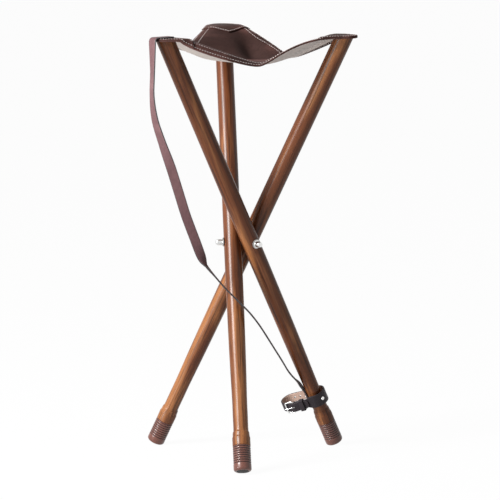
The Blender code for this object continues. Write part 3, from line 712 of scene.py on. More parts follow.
class STOOL_OT_feet(bpy.types.Operator):
    """Models the ribbed rubber feet, with painted shade in their grooves, and the black discs set into
    them
    """

    bl_idname = "stool.feet"
    bl_label = "Ribbed feet"

    # Height of the plain part below the ribs, and the radius of its lower edge
    PLAIN = 0.0115
    ROUNDING = 0.0040
    # The groove in each rib: depth, and its place and width as shares of the rib's height
    GROOVE_DEPTH = 0.0011
    GROOVE_AT = 0.40
    GROOVE_WIDTH = 0.20
    # Shares of a rib's height at which its profile has a point
    RIB_POINTS = (0.0, 0.12, 0.22, 0.31, 0.40, 0.49, 0.58, 0.68, 0.82)
    # How far in from the outside the grooves' painted shade begins, as a darker rubber on the groove faces
    SHADE_FROM = 0.0005

    def ferrule(self, size):
        """The foot's profile: round the recess, the rounded edge, the plain part and up the ribs."""
        foot, radius, recess = -size.pivot, size.foot / 2.0, size.pad / 2.0 + CLEAR
        edge = self.ROUNDING
        profile = [(recess - 0.001, foot + 0.0036), (recess, foot + 0.0034), (recess, foot + 0.0004)]
        for k in range(7):
            a = math.radians(15.0 * k)
            profile.append((radius - edge + edge * math.sin(a), foot + edge - edge * math.cos(a)))
        profile.append((radius, foot + self.PLAIN - 0.0012))
        pitch = (size.ferrule - self.PLAIN) / size.ribs
        for k in range(size.ribs):
            for share in self.RIB_POINTS:
                dip = self.GROOVE_DEPTH * math.exp(-(((share - self.GROOVE_AT) / self.GROOVE_WIDTH) ** 2))
                profile.append((radius - dip, foot + self.PLAIN + (k + share) * pitch))
        profile.append((radius - 0.0001, foot + size.ferrule - 0.0003))
        profile.append((radius - 0.0006, foot + size.ferrule))
        profile.append((radius - 0.0050, foot + size.ferrule))
        return turned("foot", profile, 48)

    def disc(self, size):
        foot, radius = -size.pivot, size.pad / 2.0
        profile = [
            (0.0010, foot - 0.0003),
            (radius - 0.0014, foot - 0.0002),
            (radius - 0.0004, foot + 0.0004),
            (radius, foot + 0.0010),
            (radius, foot + 0.0033),
        ]
        return turned("pad", profile, 36)

    def execute(self, context):
        size, paint = context.scene.stool_legs, context.scene.stool_colours
        ferrule, disc = self.ferrule(size), self.disc(size)
        rubber = [rubber_finish(paint), shaded_groove_finish(paint)]
        shade_within, ribs_from = size.foot / 2.0 - self.SHADE_FROM, self.PLAIN - size.pivot
        for side in SIDES:
            copy = copy_of(ferrule, f"ribbed_foot_{side}", LEG[side])
            slice_off(copy, (0.0, 0.0, 0.0), -UP)
            dress(copy, rubber, f"{side}_leg", [f"foot_ferrule_{side}"], 50.0)
            back = LEG[side].inverted()
            # Faces deep in the grooves get the painted shade
            for face in copy.data.polygons:
                spot = back @ face.center
                if math.hypot(spot.x, spot.y) < shade_within and spot.z > ribs_from:
                    face.material_index = 1
            copy = copy_of(disc, f"foot_disc_{side}", LEG[side])
            dress(copy, [pad_finish(paint)], f"{side}_leg", [f"foot_pad_{side}"], 40.0)
        discard(ferrule, disc)
        return {"FINISHED"}


class STOOL_OT_bolt(bpy.types.Operator):
    """Finishes the three-way bolt and the hidden seat screws, and models the washers and cap nuts"""

    bl_idname = "stool.bolt"
    bl_label = "Bolt and nuts"

    WASHER_RADIUS = 0.0075
    WASHER_THICKNESS = 0.0012
    NUT_RADIUS = 0.0052
    NUT_HEIGHT = 0.0122
    FLANGE_RADIUS = 0.0062
    # The share of the nut's height at which its dome begins, and how full the dome is
    DOME_FROM = 0.55
    DOME_POWER = 0.8
    DOME_STEPS = 12
    BEVEL = 0.0003

    def washer(self):
        rim, thick, bevel = self.WASHER_RADIUS, self.WASHER_THICKNESS, self.BEVEL
        profile = [
            (BOLT_HOLE, 0.0),
            (rim - bevel, 0.0),
            (rim, bevel),
            (rim, thick - bevel),
            (rim - bevel, thick),
            (BOLT_HOLE + 0.0002, thick),
            (BOLT_HOLE, thick - 0.0002),
        ]
        return turned("washer", profile, 40, ring=True)

    def nut(self):
        body, tall, flange, bevel = self.NUT_RADIUS, self.NUT_HEIGHT, self.FLANGE_RADIUS, self.BEVEL
        profile = [(BOLT_HOLE, 0.0), (flange - bevel, 0.0), (flange, bevel), (flange, 0.0008)]
        profile += [(body, 0.0014), (body, self.DOME_FROM * tall)]
        for k in range(1, self.DOME_STEPS):
            a = math.radians(90.0 * k / self.DOME_STEPS)
            rise = self.DOME_FROM + (1.0 - self.DOME_FROM) * math.sin(a)
            profile.append((body * math.cos(a) ** self.DOME_POWER, tall * rise))
        return turned("nut", profile, 40)

    def execute(self, context):
        size, paint = context.scene.stool_legs, context.scene.stool_colours
        chrome, steel = chrome_finish(paint), steel_finish(paint)
        for name in ("three_way_bolt", *(f"seat_screw_{side}" for side in SIDES)):
            frame["nodes"][name].data.materials.clear()
            frame["nodes"][name].data.materials.append(steel)
        face = size.diameter / 2.0 + CLEAR
        washer, nut = self.washer(), self.nut()
        for side in SIDES:
            out = Vector(LEG[side].col[0][:3])
            centre = Vector(JOINTS[f"{side}_leg_fold"]["pos_m"])
            copy = copy_of(washer, f"washer_{side}", along(out, centre + out * face))
            dress(copy, [steel], "hub_and_seat", [f"bolt_washer_{side}"], 40.0)
            seat = centre + out * (face + self.WASHER_THICKNESS + CLEAR)
            copy = copy_of(nut, f"domed_nut_{side}", along(out, seat))
            dress(copy, [chrome], "hub_and_seat", [f"cap_nut_{side}"], 40.0)
        discard(washer, nut)
        return {"FINISHED"}


# Seat


class Sling:
    """The seat's surface: a rounded triangle that hangs from the three leg tops."""

    # The soft fold beside the back corner
    FOLD_DEPTH = 0.017
    FOLD_WIDTH = 0.020
    FOLD_ASIDE = -0.031
    FOLD_LEAN = 1.35
    # Each edge drops past one corner and climbs to the next: distance from the corner, power by edge
    DROP_START = 0.018
    DROP_POWER = (0.9, 0.72, 0.9)
    CLIMB_START = 0.014
    CLIMB_POWER = (1.3, 2.3, 1.3)
    # How the middle falls, and how round the fall's lower end is
    MIDDLE_POWER = 1.3
    FALL_BEND = 0.12
    # The power by which the rim's own line takes over toward the edge
    RIM_POWER = 6
    # The flat round each leg top, past the wood
    FLAT_MARGIN = 0.0035
    PATCH_SLOPE = math.tan(math.radians(30.0))
    # Steps in which the patch's width is searched, and over which the surface's slope is taken
    PATCH_SEARCH = math.radians(0.05)
    SLOPE_STEP = 0.0006

    def __init__(self, scene):
        legs, seat = scene.stool_legs, scene.stool_seat
        above = legs.length - legs.pivot
        tops = {side: LEG[side] @ Vector((0.0, 0.0, above)) for side in SIDES}
        self.seat = seat
        self.middle = sum(tops.values(), Vector()) / 3.0
        self.reach = (tops["back"] - self.middle).length
        self.aim = {s: math.atan2(p.y - self.middle.y, p.x - self.middle.x) for s, p in tops.items()}
        self.half_side = self.reach * math.sin(SIXTY)
        self.edge_out = self.reach / 2.0 + seat.corner
        self.flat = legs.diameter / 2.0 / math.cos(SPLAY) + self.FLAT_MARGIN

    def off_corner(self, angle):
        """The angle from the nearest corner's centreline, 0 to 60 degrees."""
        a = (angle - self.aim["back"]) % (2.0 * SIXTY)
        return min(a, 2.0 * SIXTY - a)

    def outline(self, off, inset=0.0):
        """How far the edge is from the middle, at an angle off a corner's centreline."""
        radius = self.seat.corner - inset
        tangent = math.atan2(radius * math.sin(SIXTY), self.reach + radius * 0.5)
        if off > tangent:
            return (self.edge_out - inset) / math.cos(SIXTY - off)
        inside = radius**2 - (self.reach * math.sin(off)) ** 2
        return self.reach * math.cos(off) + math.sqrt(max(inside, 0.0))

    def fall(self, share, power):
        """How far the leather has fallen from a corner, 0 to 1: slow, straight, then rounded."""
        left, bend = 1.0 - held(share), self.FALL_BEND
        rest = (math.hypot(left, bend) - bend) / (math.hypot(1.0, bend) - bend)
        return max(1.0 - rest, 0.0) ** power

    def rim(self, angle):
        """The edge drops quickly past a corner, counted anticlockwise, and climbs slowly to the next."""
        turn = (angle - self.aim["back"]) % FULL_TURN
        sags = (self.seat.back_left_sag, self.seat.front_sag, self.seat.back_right_sag)
        edge = int(turn / (2.0 * SIXTY)) % 3
        start, power = self.CLIMB_START, self.CLIMB_POWER[edge]
        if turn % (2.0 * SIXTY) < SIXTY:
            start, power = self.DROP_START, self.DROP_POWER[edge]
        off = self.off_corner(angle)
        run = self.half_side - self.outline(off) * math.sin(SIXTY - off)
        return -sags[edge] * self.fall((run - start) / (self.half_side - start), power)

    def height(self, x, y):
        """The underside's height below the leg tops."""
        middle = -self.seat.sag
        for side, angle in self.aim.items():
            inward = self.reach - (x * math.cos(angle) + y * math.sin(angle)) - self.flat
            middle *= self.fall(inward / getattr(self.seat, f"{side}_fall"), self.MIDDLE_POWER)
        r = math.hypot(x, y)
        if r < 1e-6:
            return middle
        angle = math.atan2(y, x)
        share = (r / self.outline(self.off_corner(angle))) ** self.RIM_POWER
        return (middle - self.fold(x, y)) * (1.0 - share) + self.rim(angle) * share

    def fold(self, x, y):
        """How deep the soft fold is that runs beside the back corner's pull toward the middle."""
        angle = self.aim["back"]
        along_pull = (x * math.cos(angle) + y * math.sin(angle)) / (self.reach - self.flat)
        aside = y * math.cos(angle) - x * math.sin(angle) - self.FOLD_ASIDE
        share = math.sin(math.pi * held(along_pull) ** self.FOLD_LEAN) ** 2
        return self.FOLD_DEPTH * share * math.exp(-((aside / self.FOLD_WIDTH) ** 2))

    def normal(self, x, y):
        h = self.SLOPE_STEP
        dx = (self.height(x + h, y) - self.height(x - h, y)) / (2.0 * h)
        dy = (self.height(x, y + h) - self.height(x, y - h)) / (2.0 * h)
        return Vector((-dx, -dy, 1.0)).normalized()

    def at(self, side, off, radius, rise):
        """A point by its angle off a corner's centreline, distance out and rise, and its normal."""
        angle = self.aim[side] + off
        x, y = radius * math.cos(angle), radius * math.sin(angle)
        normal = self.normal(x, y)
        base = self.middle + Vector((x, y, CLEAR + self.height(x, y)))
        return base + normal * rise, normal

    def patch_edge(self, off):
        """Where the corner patch ends: a wide V with its point toward the middle."""
        spread_out = math.cos(off) - self.PATCH_SLOPE * abs(math.sin(off))
        return (self.reach - self.seat.patch_reach) / spread_out

    def patch_width(self):
        """The angle off the corner's centreline at which the V meets the edge."""
        off = 0.0
        while self.patch_edge(off) < self.outline(off):
            off += self.PATCH_SEARCH
        return off

    def hang(self, piece):
        """Applies the piece's placement to its mesh."""
        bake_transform(piece)


def angles_across(steps):
    """Even angles over one corner's third of the seat."""
    return [math.radians(-60.0 + 120.0 * i / steps) for i in range(steps + 1)]


def keep_surface_normals(piece, normals):
    """Sets each point's shading normal, where one is given, so that neighbours meet without a crease."""
    mesh = piece.data
    shading = [normals.get(loop.vertex_index) or Vector() for loop in mesh.loops]
    for face in mesh.polygons:
        for k in face.loop_indices:
            given = shading[k]
            if given.length < 0.5 or abs(given.dot(face.normal)) < 0.5:
                shading[k] = Vector()
            elif given.dot(face.normal) < 0.0:
                shading[k] = -given
    mesh.normals_split_custom_set([tuple(n) for n in shading])


class STOOL_OT_sling(bpy.types.Operator):
    """Models the leather sling in three parts, one for each leg, with its border and flesh side"""

    bl_idname = "stool.sling"
    bl_label = "Leather sling"

    ANGLE_STEPS = 84
    RINGS = 44
    # Rings of the underside that lie on the leather turned under at the edge
    TURNED_RINGS = 2
    RIM_POINTS = 3
    # Rings lie closer together toward the edge
    CROWDING = 1.25
    # Width of the rounded edge, and of the slope up to the border
    ROUNDING = 0.0008
    BORDER_SLOPE = 0.0024

    def row(self, form, off):
        """Distance out and rise of the points at one angle: over the top, round the edge, back below."""
        seat, plain_rings = form.seat, self.RINGS - self.TURNED_RINGS
        edge = form.outline(abs(off))
        border = form.outline(abs(off), seat.border)
        turn_under = form.outline(abs(off), seat.turn_under)
        shoulder = edge - self.ROUNDING
        top, below = [], []
        for j in range(1, self.RINGS + 1):
            radius = shoulder * (1.0 - (1.0 - j / self.RINGS) ** self.CROWDING)
            climbed = ease((radius - border + self.BORDER_SLOPE / 2.0) / self.BORDER_SLOPE)
            top.append((radius, seat.thickness - seat.border_step * (1.0 - climbed)))
            radius = turn_under * (1.0 - (1.0 - min(j / plain_rings, 1.0)) ** self.CROWDING)
            if j > plain_rings:
                radius = turn_under + (shoulder - turn_under) * (j - plain_rings) / self.TURNED_RINGS
            below.append((radius, 0.0))
        near, chamfer = edge - 0.0002, 0.0005
        rim = [(near, seat.thickness - chamfer), (edge, seat.thickness * 0.5), (near, chamfer)]
        return top + rim + below[::-1]

    def faces(self, count):
        """The faces between the rows, and the numbers of those that show the flesh side."""
        centre_top = (self.ANGLE_STEPS + 1) * count
        centre_below = centre_top + 1
        below_from = self.RINGS + self.RIM_POINTS
        faces, flesh = [], []
        for i in range(self.ANGLE_STEPS):
            here, there = i * count, (i + 1) * count
            faces.append((centre_top, here, there))
            flesh.append(len(faces))
            faces.append((centre_below, there + count - 1, here + count - 1))
            for j in range(count - 1):
                quad = (here + j, here + j + 1, there + j + 1, there + j)
                if j >= below_from + self.TURNED_RINGS:
                    flesh.append(len(faces))
                faces.append(quad if j < below_from else quad[1:] + quad[:1])
        last = self.ANGLE_STEPS * count
        faces.append((centre_top, *range(count), centre_below))
        faces.append((centre_below, *range(last + count - 1, last - 1, -1), centre_top))
        return faces, flesh

    def execute(self, context):
        form = Sling(context.scene)
        seat, paint = form.seat, context.scene.stool_colours
        materials = [seat_finish(paint), flesh_finish(paint)]
        offs = angles_across(self.ANGLE_STEPS)
        rows = [self.row(form, off) for off in offs]
        faces, flesh = self.faces(len(rows[0]))
        for side in SIDES:
            points, normals = [], {}
            for off, row in zip(offs, rows):
                for j, (radius, rise) in enumerate(row):
                    point, normal = form.at(side, off, radius, rise)
                    if not 0 <= j - self.RINGS < self.RIM_POINTS:
                        normals[len(points)] = normal
                    points.append(point)
            for rise in (seat.thickness - seat.border_step, 0.0):
                point, normals[len(points)] = form.at(side, 0.0, 0.0, rise)
                points.append(point)
            piece = mesh_piece(f"sling_{side}", points, faces)
            dress(piece, materials, None, ["seat_panel"], 50.0)
            for k in flesh:
                piece.data.polygons[k].material_index = 1
            keep_surface_normals(piece, normals)
            form.hang(piece)
        return {"FINISHED"}


class STOOL_OT_patches(bpy.types.Operator):
    """Models the leather patches sewn on the seat's corners"""

    bl_idname = "stool.patches"
    bl_label = "Corner patches"

    STEPS = 60
    RINGS = 20
    # How far short of its full width a patch ends, and its bevel
    TIP = math.radians(0.3)
    BEVEL = 0.0004

    def row(self, form, off, low, top):
        """Distance out and rise of the points round one section of a patch."""
        start, end, bevel = form.patch_edge(off), form.outline(abs(off)) - self.BEVEL, self.BEVEL
        across = [j / self.RINGS for j in range(self.RINGS + 1)]
        row = [(start + bevel + (end - start - 2.0 * bevel) * share, top) for share in across]
        row += [(end, top - 0.0005), (end, low + 0.0003)]
        row += [(end - (end - start) * share, low) for share in across]
        row += [(start, top - 0.0005)]
        return row

    def execute(self, context):
        form = Sling(context.scene)
        seat, paint = form.seat, context.scene.stool_colours
        low = seat.thickness + CLEAR
        top = low + seat.patch_thickness
        limit = form.patch_width() - self.TIP
        offs = [limit * (2.0 * i / self.STEPS - 1.0) for i in range(self.STEPS + 1)]
        for side in SIDES:
            rows = []
            for off in offs:
                row = self.row(form, off, low, top)
                rows.append([form.at(side, off, radius, rise)[0] for radius, rise in row])
            piece = strip(f"patch_{side}", rows)
            dress(piece, [seat_finish(paint)], None, [f"corner_patch_{side}"], 40.0)
            form.hang(piece)
        return {"FINISHED"}


class STOOL_OT_stitches(bpy.types.Operator):
    """Sews two rows of stitches along each edge and a V across each corner"""

    bl_idname = "stool.stitches"
    bl_label = "Stitches"

    SIDES_OF_THREAD = 6
    POINTS = 4
    SAMPLES = 900
    # The share of the pitch that a stitch covers
    COVER = 0.74
    # In thread radii: how far its ends sink, how far its middle stands proud, how thin its ends are
    SINK = -0.7
    STAND = 0.35
    END = 0.55
    # How flat the thread is pressed
    FLATTENED = 0.8
    # The V's stitches, in from the patch's edge
    PATCH_ROW = 0.003
    PATCH_START = 0.0002

    def stitch(self, bm, line, normals, radius):
        """One stitch: a short thread that dips into the leather at both ends."""
        rings = []
        for k, (point, normal) in enumerate(zip(line, normals)):
            across = heading(line, k).cross(normal).normalized()
            at_end = k in (0, len(line) - 1)
            dip = (self.SINK if at_end else self.STAND) * radius
            thin = self.END if at_end else 1.0
            ring = []
            for j in range(self.SIDES_OF_THREAD):
                a = FULL_TURN * j / self.SIDES_OF_THREAD
                spoke = normal * math.cos(a) * self.FLATTENED + across * math.sin(a)
                ring.append(bm.verts.new(point + normal * dip + spoke * radius * thin))
            rings.append(ring)
        for first, second in zip(rings, rings[1:]):
            for j in range(self.SIDES_OF_THREAD):
                i = (j + 1) % self.SIDES_OF_THREAD
                bm.faces.new((first[j], first[i], second[i], second[j]))
        bm.faces.new(rings[0][::-1])
        bm.faces.new(rings[-1])

    def row(self, bm, form, side, radius_at, rise_at, under=False):
        """Stitches at an even pitch along one line of the sling, above or below, with none below over the
        leg's top.
        """
        seat = form.seat
        leg_top = (form.middle + toward(form.aim[side]) * form.reach).xy
        line, run = [], [0.0]
        for off in angles_across(self.SAMPLES):
            radius = radius_at(abs(off))
            line.append(form.at(side, off, radius, rise_at(abs(off), radius)))
            if len(line) > 1:
                run.append(run[-1] + (line[-1][0] - line[-2][0]).length)
        count = round(run[-1] / seat.stitch_pitch)
        pitch = run[-1] / count
        long = self.COVER * run[-1] / count
        spot = 0
        for n in range(count):
            points, normals = [], []
            for k in range(self.POINTS):
                goal = (n + 0.5) * pitch + long * (k / (self.POINTS - 1.0) - 0.5)
                while run[spot + 1] < goal:
                    spot += 1
                share = (goal - run[spot]) / (run[spot + 1] - run[spot])
                points.append(line[spot][0].lerp(line[spot + 1][0], share))
                normals.append(-line[spot][1] if under else line[spot][1])
            while spot and run[spot] > (n + 1) * pitch - long:
                spot -= 1
            if under and (points[1].xy - leg_top).length < form.flat + seat.stitch_pitch:
                continue
            self.stitch(bm, points, normals, seat.stitch_width / 2.0)

    def execute(self, context):
        form = Sling(context.scene)
        seat, paint = form.seat, context.scene.stool_colours
        patch_top = seat.thickness + CLEAR + seat.patch_thickness

        def above(off, radius):
            return patch_top if radius > form.patch_edge(off) + self.PATCH_START else seat.thickness

        def below(off, radius):
            return 0.0

        def outer(off):
            return form.outline(off, seat.outer_row)

        def inner(off):
            straight = (form.edge_out - seat.inner_row) / math.cos(SIXTY - off)
            return min(straight, form.patch_edge(off) + self.PATCH_ROW)

        for side in SIDES:
            bm = bmesh.new()
            for radius_at in (outer, inner):
                self.row(bm, form, side, radius_at, above)
                self.row(bm, form, side, radius_at, below, under=True)
            mesh = bpy.data.meshes.new(f"stitches_{side}")
            bm.to_mesh(mesh)
            bm.free()
            piece = new_object(f"stitches_{side}", mesh)
            close_up(piece)
            dress(piece, [thread_finish(paint)], None, [], 80.0)
            form.hang(piece)
        return {"FINISHED"}


# Straps

# The carrying strap's route in the left leg's frame: across, toward the front, share of the height
STRAP_ROUTE = [
    (0.0014, -0.0451, 0.9538),
    (0.0000, -0.0624, 0.9029),
    (0.0002, -0.0748, 0.8480),
    (0.0035, -0.0812, 0.7883),
    (0.0072, -0.0863, 0.7273),
    (0.0097, -0.0923, 0.6668),
    (0.0117, -0.0981, 0.6057),
    (0.0144, -0.1018, 0.5426),
    (0.0152, -0.1036, 0.4970),
    (0.0196, -0.1044, 0.4737),
    (0.0268, -0.1012, 0.4423),
    (0.0340, -0.0967, 0.4080),
    (0.0408, -0.0886, 0.3677),
    (0.0424, -0.0777, 0.3243),
    (0.0376, -0.0674, 0.2800),
    (0.0282, -0.0572, 0.2344),
    (0.0185, -0.0474, 0.1878),
    (0.0082, -0.0372, 0.1404),
    (-0.0010, -0.0285, 0.0990),
    (-0.0058, -0.0195, 0.0640),
]
# The strap's turn about its own line, in degrees from facing front, by route point
STRAP_TURN = [
    (0, -64),
    (1, -64),
    (2, -50),
    (3, -38),
    (4, -8),
    (5, 0),
    (7.3, 0),
    (8, 25),
    (9, 78),
    (10, 88),
    (19, 88),
]
# Where the strap comes in to the leg: height above the closure strap's middle, and distance off the leg
STRAP_LANDING = [
    (0.033, 0.0046),
    (0.024, 0.0027),
    (0.016, 0.0010),
    (0.010, 0.0001),
    (0.003, 0.0),
    (-0.008, 0.0),
]
# The strap's lower end: its gap to the leg, and its place round the leg
STRAP_GAP = 0.0004
STRAP_END_ANGLE = math.radians(231.0)
# The way that the flat of the strap faces where its turn is 0
FACING_ASIDE = math.radians(5.6)
FACING_DOWN = math.radians(7.9)
# Round the left leg: the way that the closure loop points, and from there to the rivet
LOOP_ANGLE = math.radians(218.0)
RIVET_ANGLE = math.radians(142.0)
# The stud's height above the closure strap's middle
STUD_RISE = 0.006


class STOOL_OT_carry_strap(bpy.types.Operator):
    """Models the long carrying strap from the seat's corner to the left ankle"""

    bl_idname = "stool.carry_strap"
    bl_label = "Carrying strap"

    # Above the closure strap's middle: where the strap starts to bend round the leg, and over what height
    CUP_FROM = 0.062
    CUP_OVER = 0.042

    def route(self, scene):
        """The strap's knots in the left leg's frame, and how many belong to the fold over the corner."""
        legs, seat, strap = scene.stool_legs, scene.stool_seat, scene.stool_straps
        to_leg = LEG["left"].inverted()
        out = toward(Sling(scene).aim["left"])
        rise = seat.thickness + seat.patch_thickness + 3.0 * CLEAR + strap.carry_thickness / 2.0
        corner = LEG["left"] @ Vector((0.0, 0.0, legs.length - legs.pivot)) + UP * rise
        rim = seat.corner
        # Distance out from the leg's middle, and drop, over the seat's rim
        fold = [
            (-0.0110, 0.0),
            (0.0, 0.0),
            (0.0100, 0.0),
            (rim - 0.0030, 0.0),
            (rim + 0.0008, -0.0003),
            (rim + 0.0034, -0.0019),
            (rim + 0.0048, -0.0050),
            (rim + 0.0050, -0.0110),
        ]
        knots = [to_leg @ (corner + out * reach + UP * drop) for reach, drop in fold]
        low = strap.height - legs.pivot
        span = legs.length - legs.pivot - low
        knots += [Vector((x, y, low + z * span)) for x, y, z in STRAP_ROUTE]
        end = toward(STRAP_END_ANGLE)
        near = legs.ankle / 2.0 + STRAP_GAP + strap.carry_thickness / 2.0
        knots += [end * (near + off) + UP * (low + z) for z, off in STRAP_LANDING]
        across_corner = to_leg.to_3x3() @ Vector((-out.y, out.x, 0.0))
        return knots, len(fold), across_corner, low

    def row(self, p, side, normal, cup, section):
        """One section of the strap at a point, bent round the leg by the share that cup gives."""
        axis = Vector((0.0, 0.0, p.z))
        radial = p - axis
        sign = 1.0 if side.dot(UP.cross(radial)) > 0 else -1.0
        row = []
        for w, h in section:
            flat, off = p + side * w, normal
            if cup > 0.0:
                around = Matrix.Rotation(sign * w / radial.length, 3, "Z") @ radial
                out = around.normalized()
                out = out if out.dot(normal) > 0 else -out
                flat = flat.lerp(axis + around, cup)
                off = normal.lerp(out, cup).normalized()
            row.append(LEG["left"] @ (flat + off * h))
        return row

    def execute(self, context):
        strap, paint = context.scene.stool_straps, context.scene.stool_colours
        knots, folded, across_corner, low = self.route(context.scene)
        facing = Vector((math.sin(FACING_ASIDE), math.cos(FACING_ASIDE), -math.tan(FACING_DOWN)))
        facing = (LEG["left"].inverted().to_3x3() @ facing).normalized()
        line = smooth_line(knots, 4)
        middle = [p for p, _ in line]
        section = strap_section(strap.carry_width, strap.carry_thickness)
        rows = []
        for k, (p, t) in enumerate(line):
            tangent = heading(middle, k)
            across = tangent.cross(facing).normalized()
            away = (facing - tangent * facing.dot(tangent)).normalized()
            turn = math.radians(level(STRAP_TURN, t - folded))
            turned_side = across * math.cos(turn) + away * math.sin(turn)
            mix = held(t - (folded - 1.0))
            side = across_corner * (1.0 - mix) + turned_side * mix
            side = (side - tangent * side.dot(tangent)).normalized()
            normal = side.cross(tangent).normalized()
            cup = ease((low + self.CUP_FROM - p.z) / self.CUP_OVER)
            rows.append(self.row(p, side, normal, cup, section))
        piece = strip("carrying_strap", rows)
        materials = [strap_finish(paint), strap_edge_finish(paint)]
        dress(piece, materials, "left_leg", ["carry_strap"], 50.0)
        half = len(section) // 2
        edge_from = half - len(EDGE_ANGLES) - 1
        for face in piece.data.polygons:
            if face.index < len(section) * (len(rows) - 1) and face.index % half >= edge_from:
                face.material_index = 1
        return {"FINISHED"}


class Closure:
    """The closure strap's lines: X from the leg to the loop's tip, Y off the front run, Z up the leg."""

    # The tip's radius beside the collar's
    TIP_SHARE = 0.92
    # The buckle: how far its heel lies before the tip's middle, and how long it is
    HEEL_BACK = 0.0085
    BUCKLE_LENGTH = 0.0135
    # How far the strap's end is tucked under the buckle, and where the tip's round stops
    TUCK = 0.0045
    TIP_END = math.radians(64.0)
    TAIL_GAP = 0.0004

    def __init__(self, scene):
        legs, strap = scene.stool_legs, scene.stool_straps
        low = Matrix.Translation((0.0, 0.0, strap.height - legs.pivot))
        self.frame = LEG["left"] @ low @ Matrix.Rotation(LOOP_ANGLE, 4, "Z")
        self.half = strap.thickness / 2.0
        self.leg_radius = legs.ankle / 2.0
        self.collar = self.leg_radius + strap.carry_thickness + strap.slack + self.half
        self.tip_radius = self.TIP_SHARE * self.collar
        self.tip = strap.reach - self.half - self.tip_radius
        self.lean = math.asin((self.tip_radius - self.collar) / self.tip)
        self.along = toward(self.lean)
        self.out = Vector((-math.sin(self.lean), math.cos(self.lean), 0.0))
        self.heel = self.tip - self.HEEL_BACK
        self.toe = self.heel + self.BUCKLE_LENGTH
        self.bar = strap.bar / 2.0
        self.bar_off = self.half + CLEAR + self.bar
        self.tail_off = self.bar_off + self.bar + self.TAIL_GAP + self.half

    def run(self, p, off, z=0.0):
        """A point of the front run, by its distance along it and its height off it."""
        return self.out * (self.collar + off) + self.along * p + UP * z

    def on_run(self, p, off):
        """A matrix at a point of the front run, with X along it."""
        return Matrix.Translation(self.run(p, off)) @ Matrix.Rotation(self.lean, 4, "Z")

    def arc(self, centre, radius, start, end, steps):
        angles = [start + (end - start) * k / steps for k in range(steps + 1)]
        return [Vector((centre + radius * math.cos(a), radius * math.sin(a), 0.0)) for a in angles]

    def line(self):
        """The strap's middle line from its end under the buckle, round leg and loop, to its tail."""
        quarter = math.pi / 2.0 + self.lean
        tucked, over = self.heel + self.TUCK, 2.0 * self.half
        path = [self.run(tucked * (1.0 - k / 12), 0.0) for k in range(12)]
        path += self.arc(0.0, self.collar, quarter, FULL_TURN - quarter, 36)
        back = [self.run(self.tip * k / 8, 0.0) for k in range(1, 8)]
        path += [Vector((p.x, -p.y, 0.0)) for p in back]
        path += self.arc(self.tip, self.tip_radius, -quarter, self.TIP_END, 24)
        # Distance along the front run, and height off it, of the tail over the buckle's bar
        tail = [
            (self.heel + 0.0095, 0.0010),
            (self.heel + 0.0072, 0.0024),
            (self.heel + 0.0048, 0.36 * self.bar + 0.0033),
            (self.heel + 0.0024, self.tail_off - 0.0004),
            (self.heel, self.tail_off),
            (self.heel - 0.0030, self.tail_off - 0.0002),
            (self.heel - 0.0065, self.tail_off - 0.0010),
            (self.heel - 0.0100, over + 0.0013),
            (self.heel - 0.0140, over + 0.0006),
            (0.0140, over + 0.0005),
            (0.0080, over + 0.0005),
        ]
        return path + [self.run(p, off) for p, off in tail]


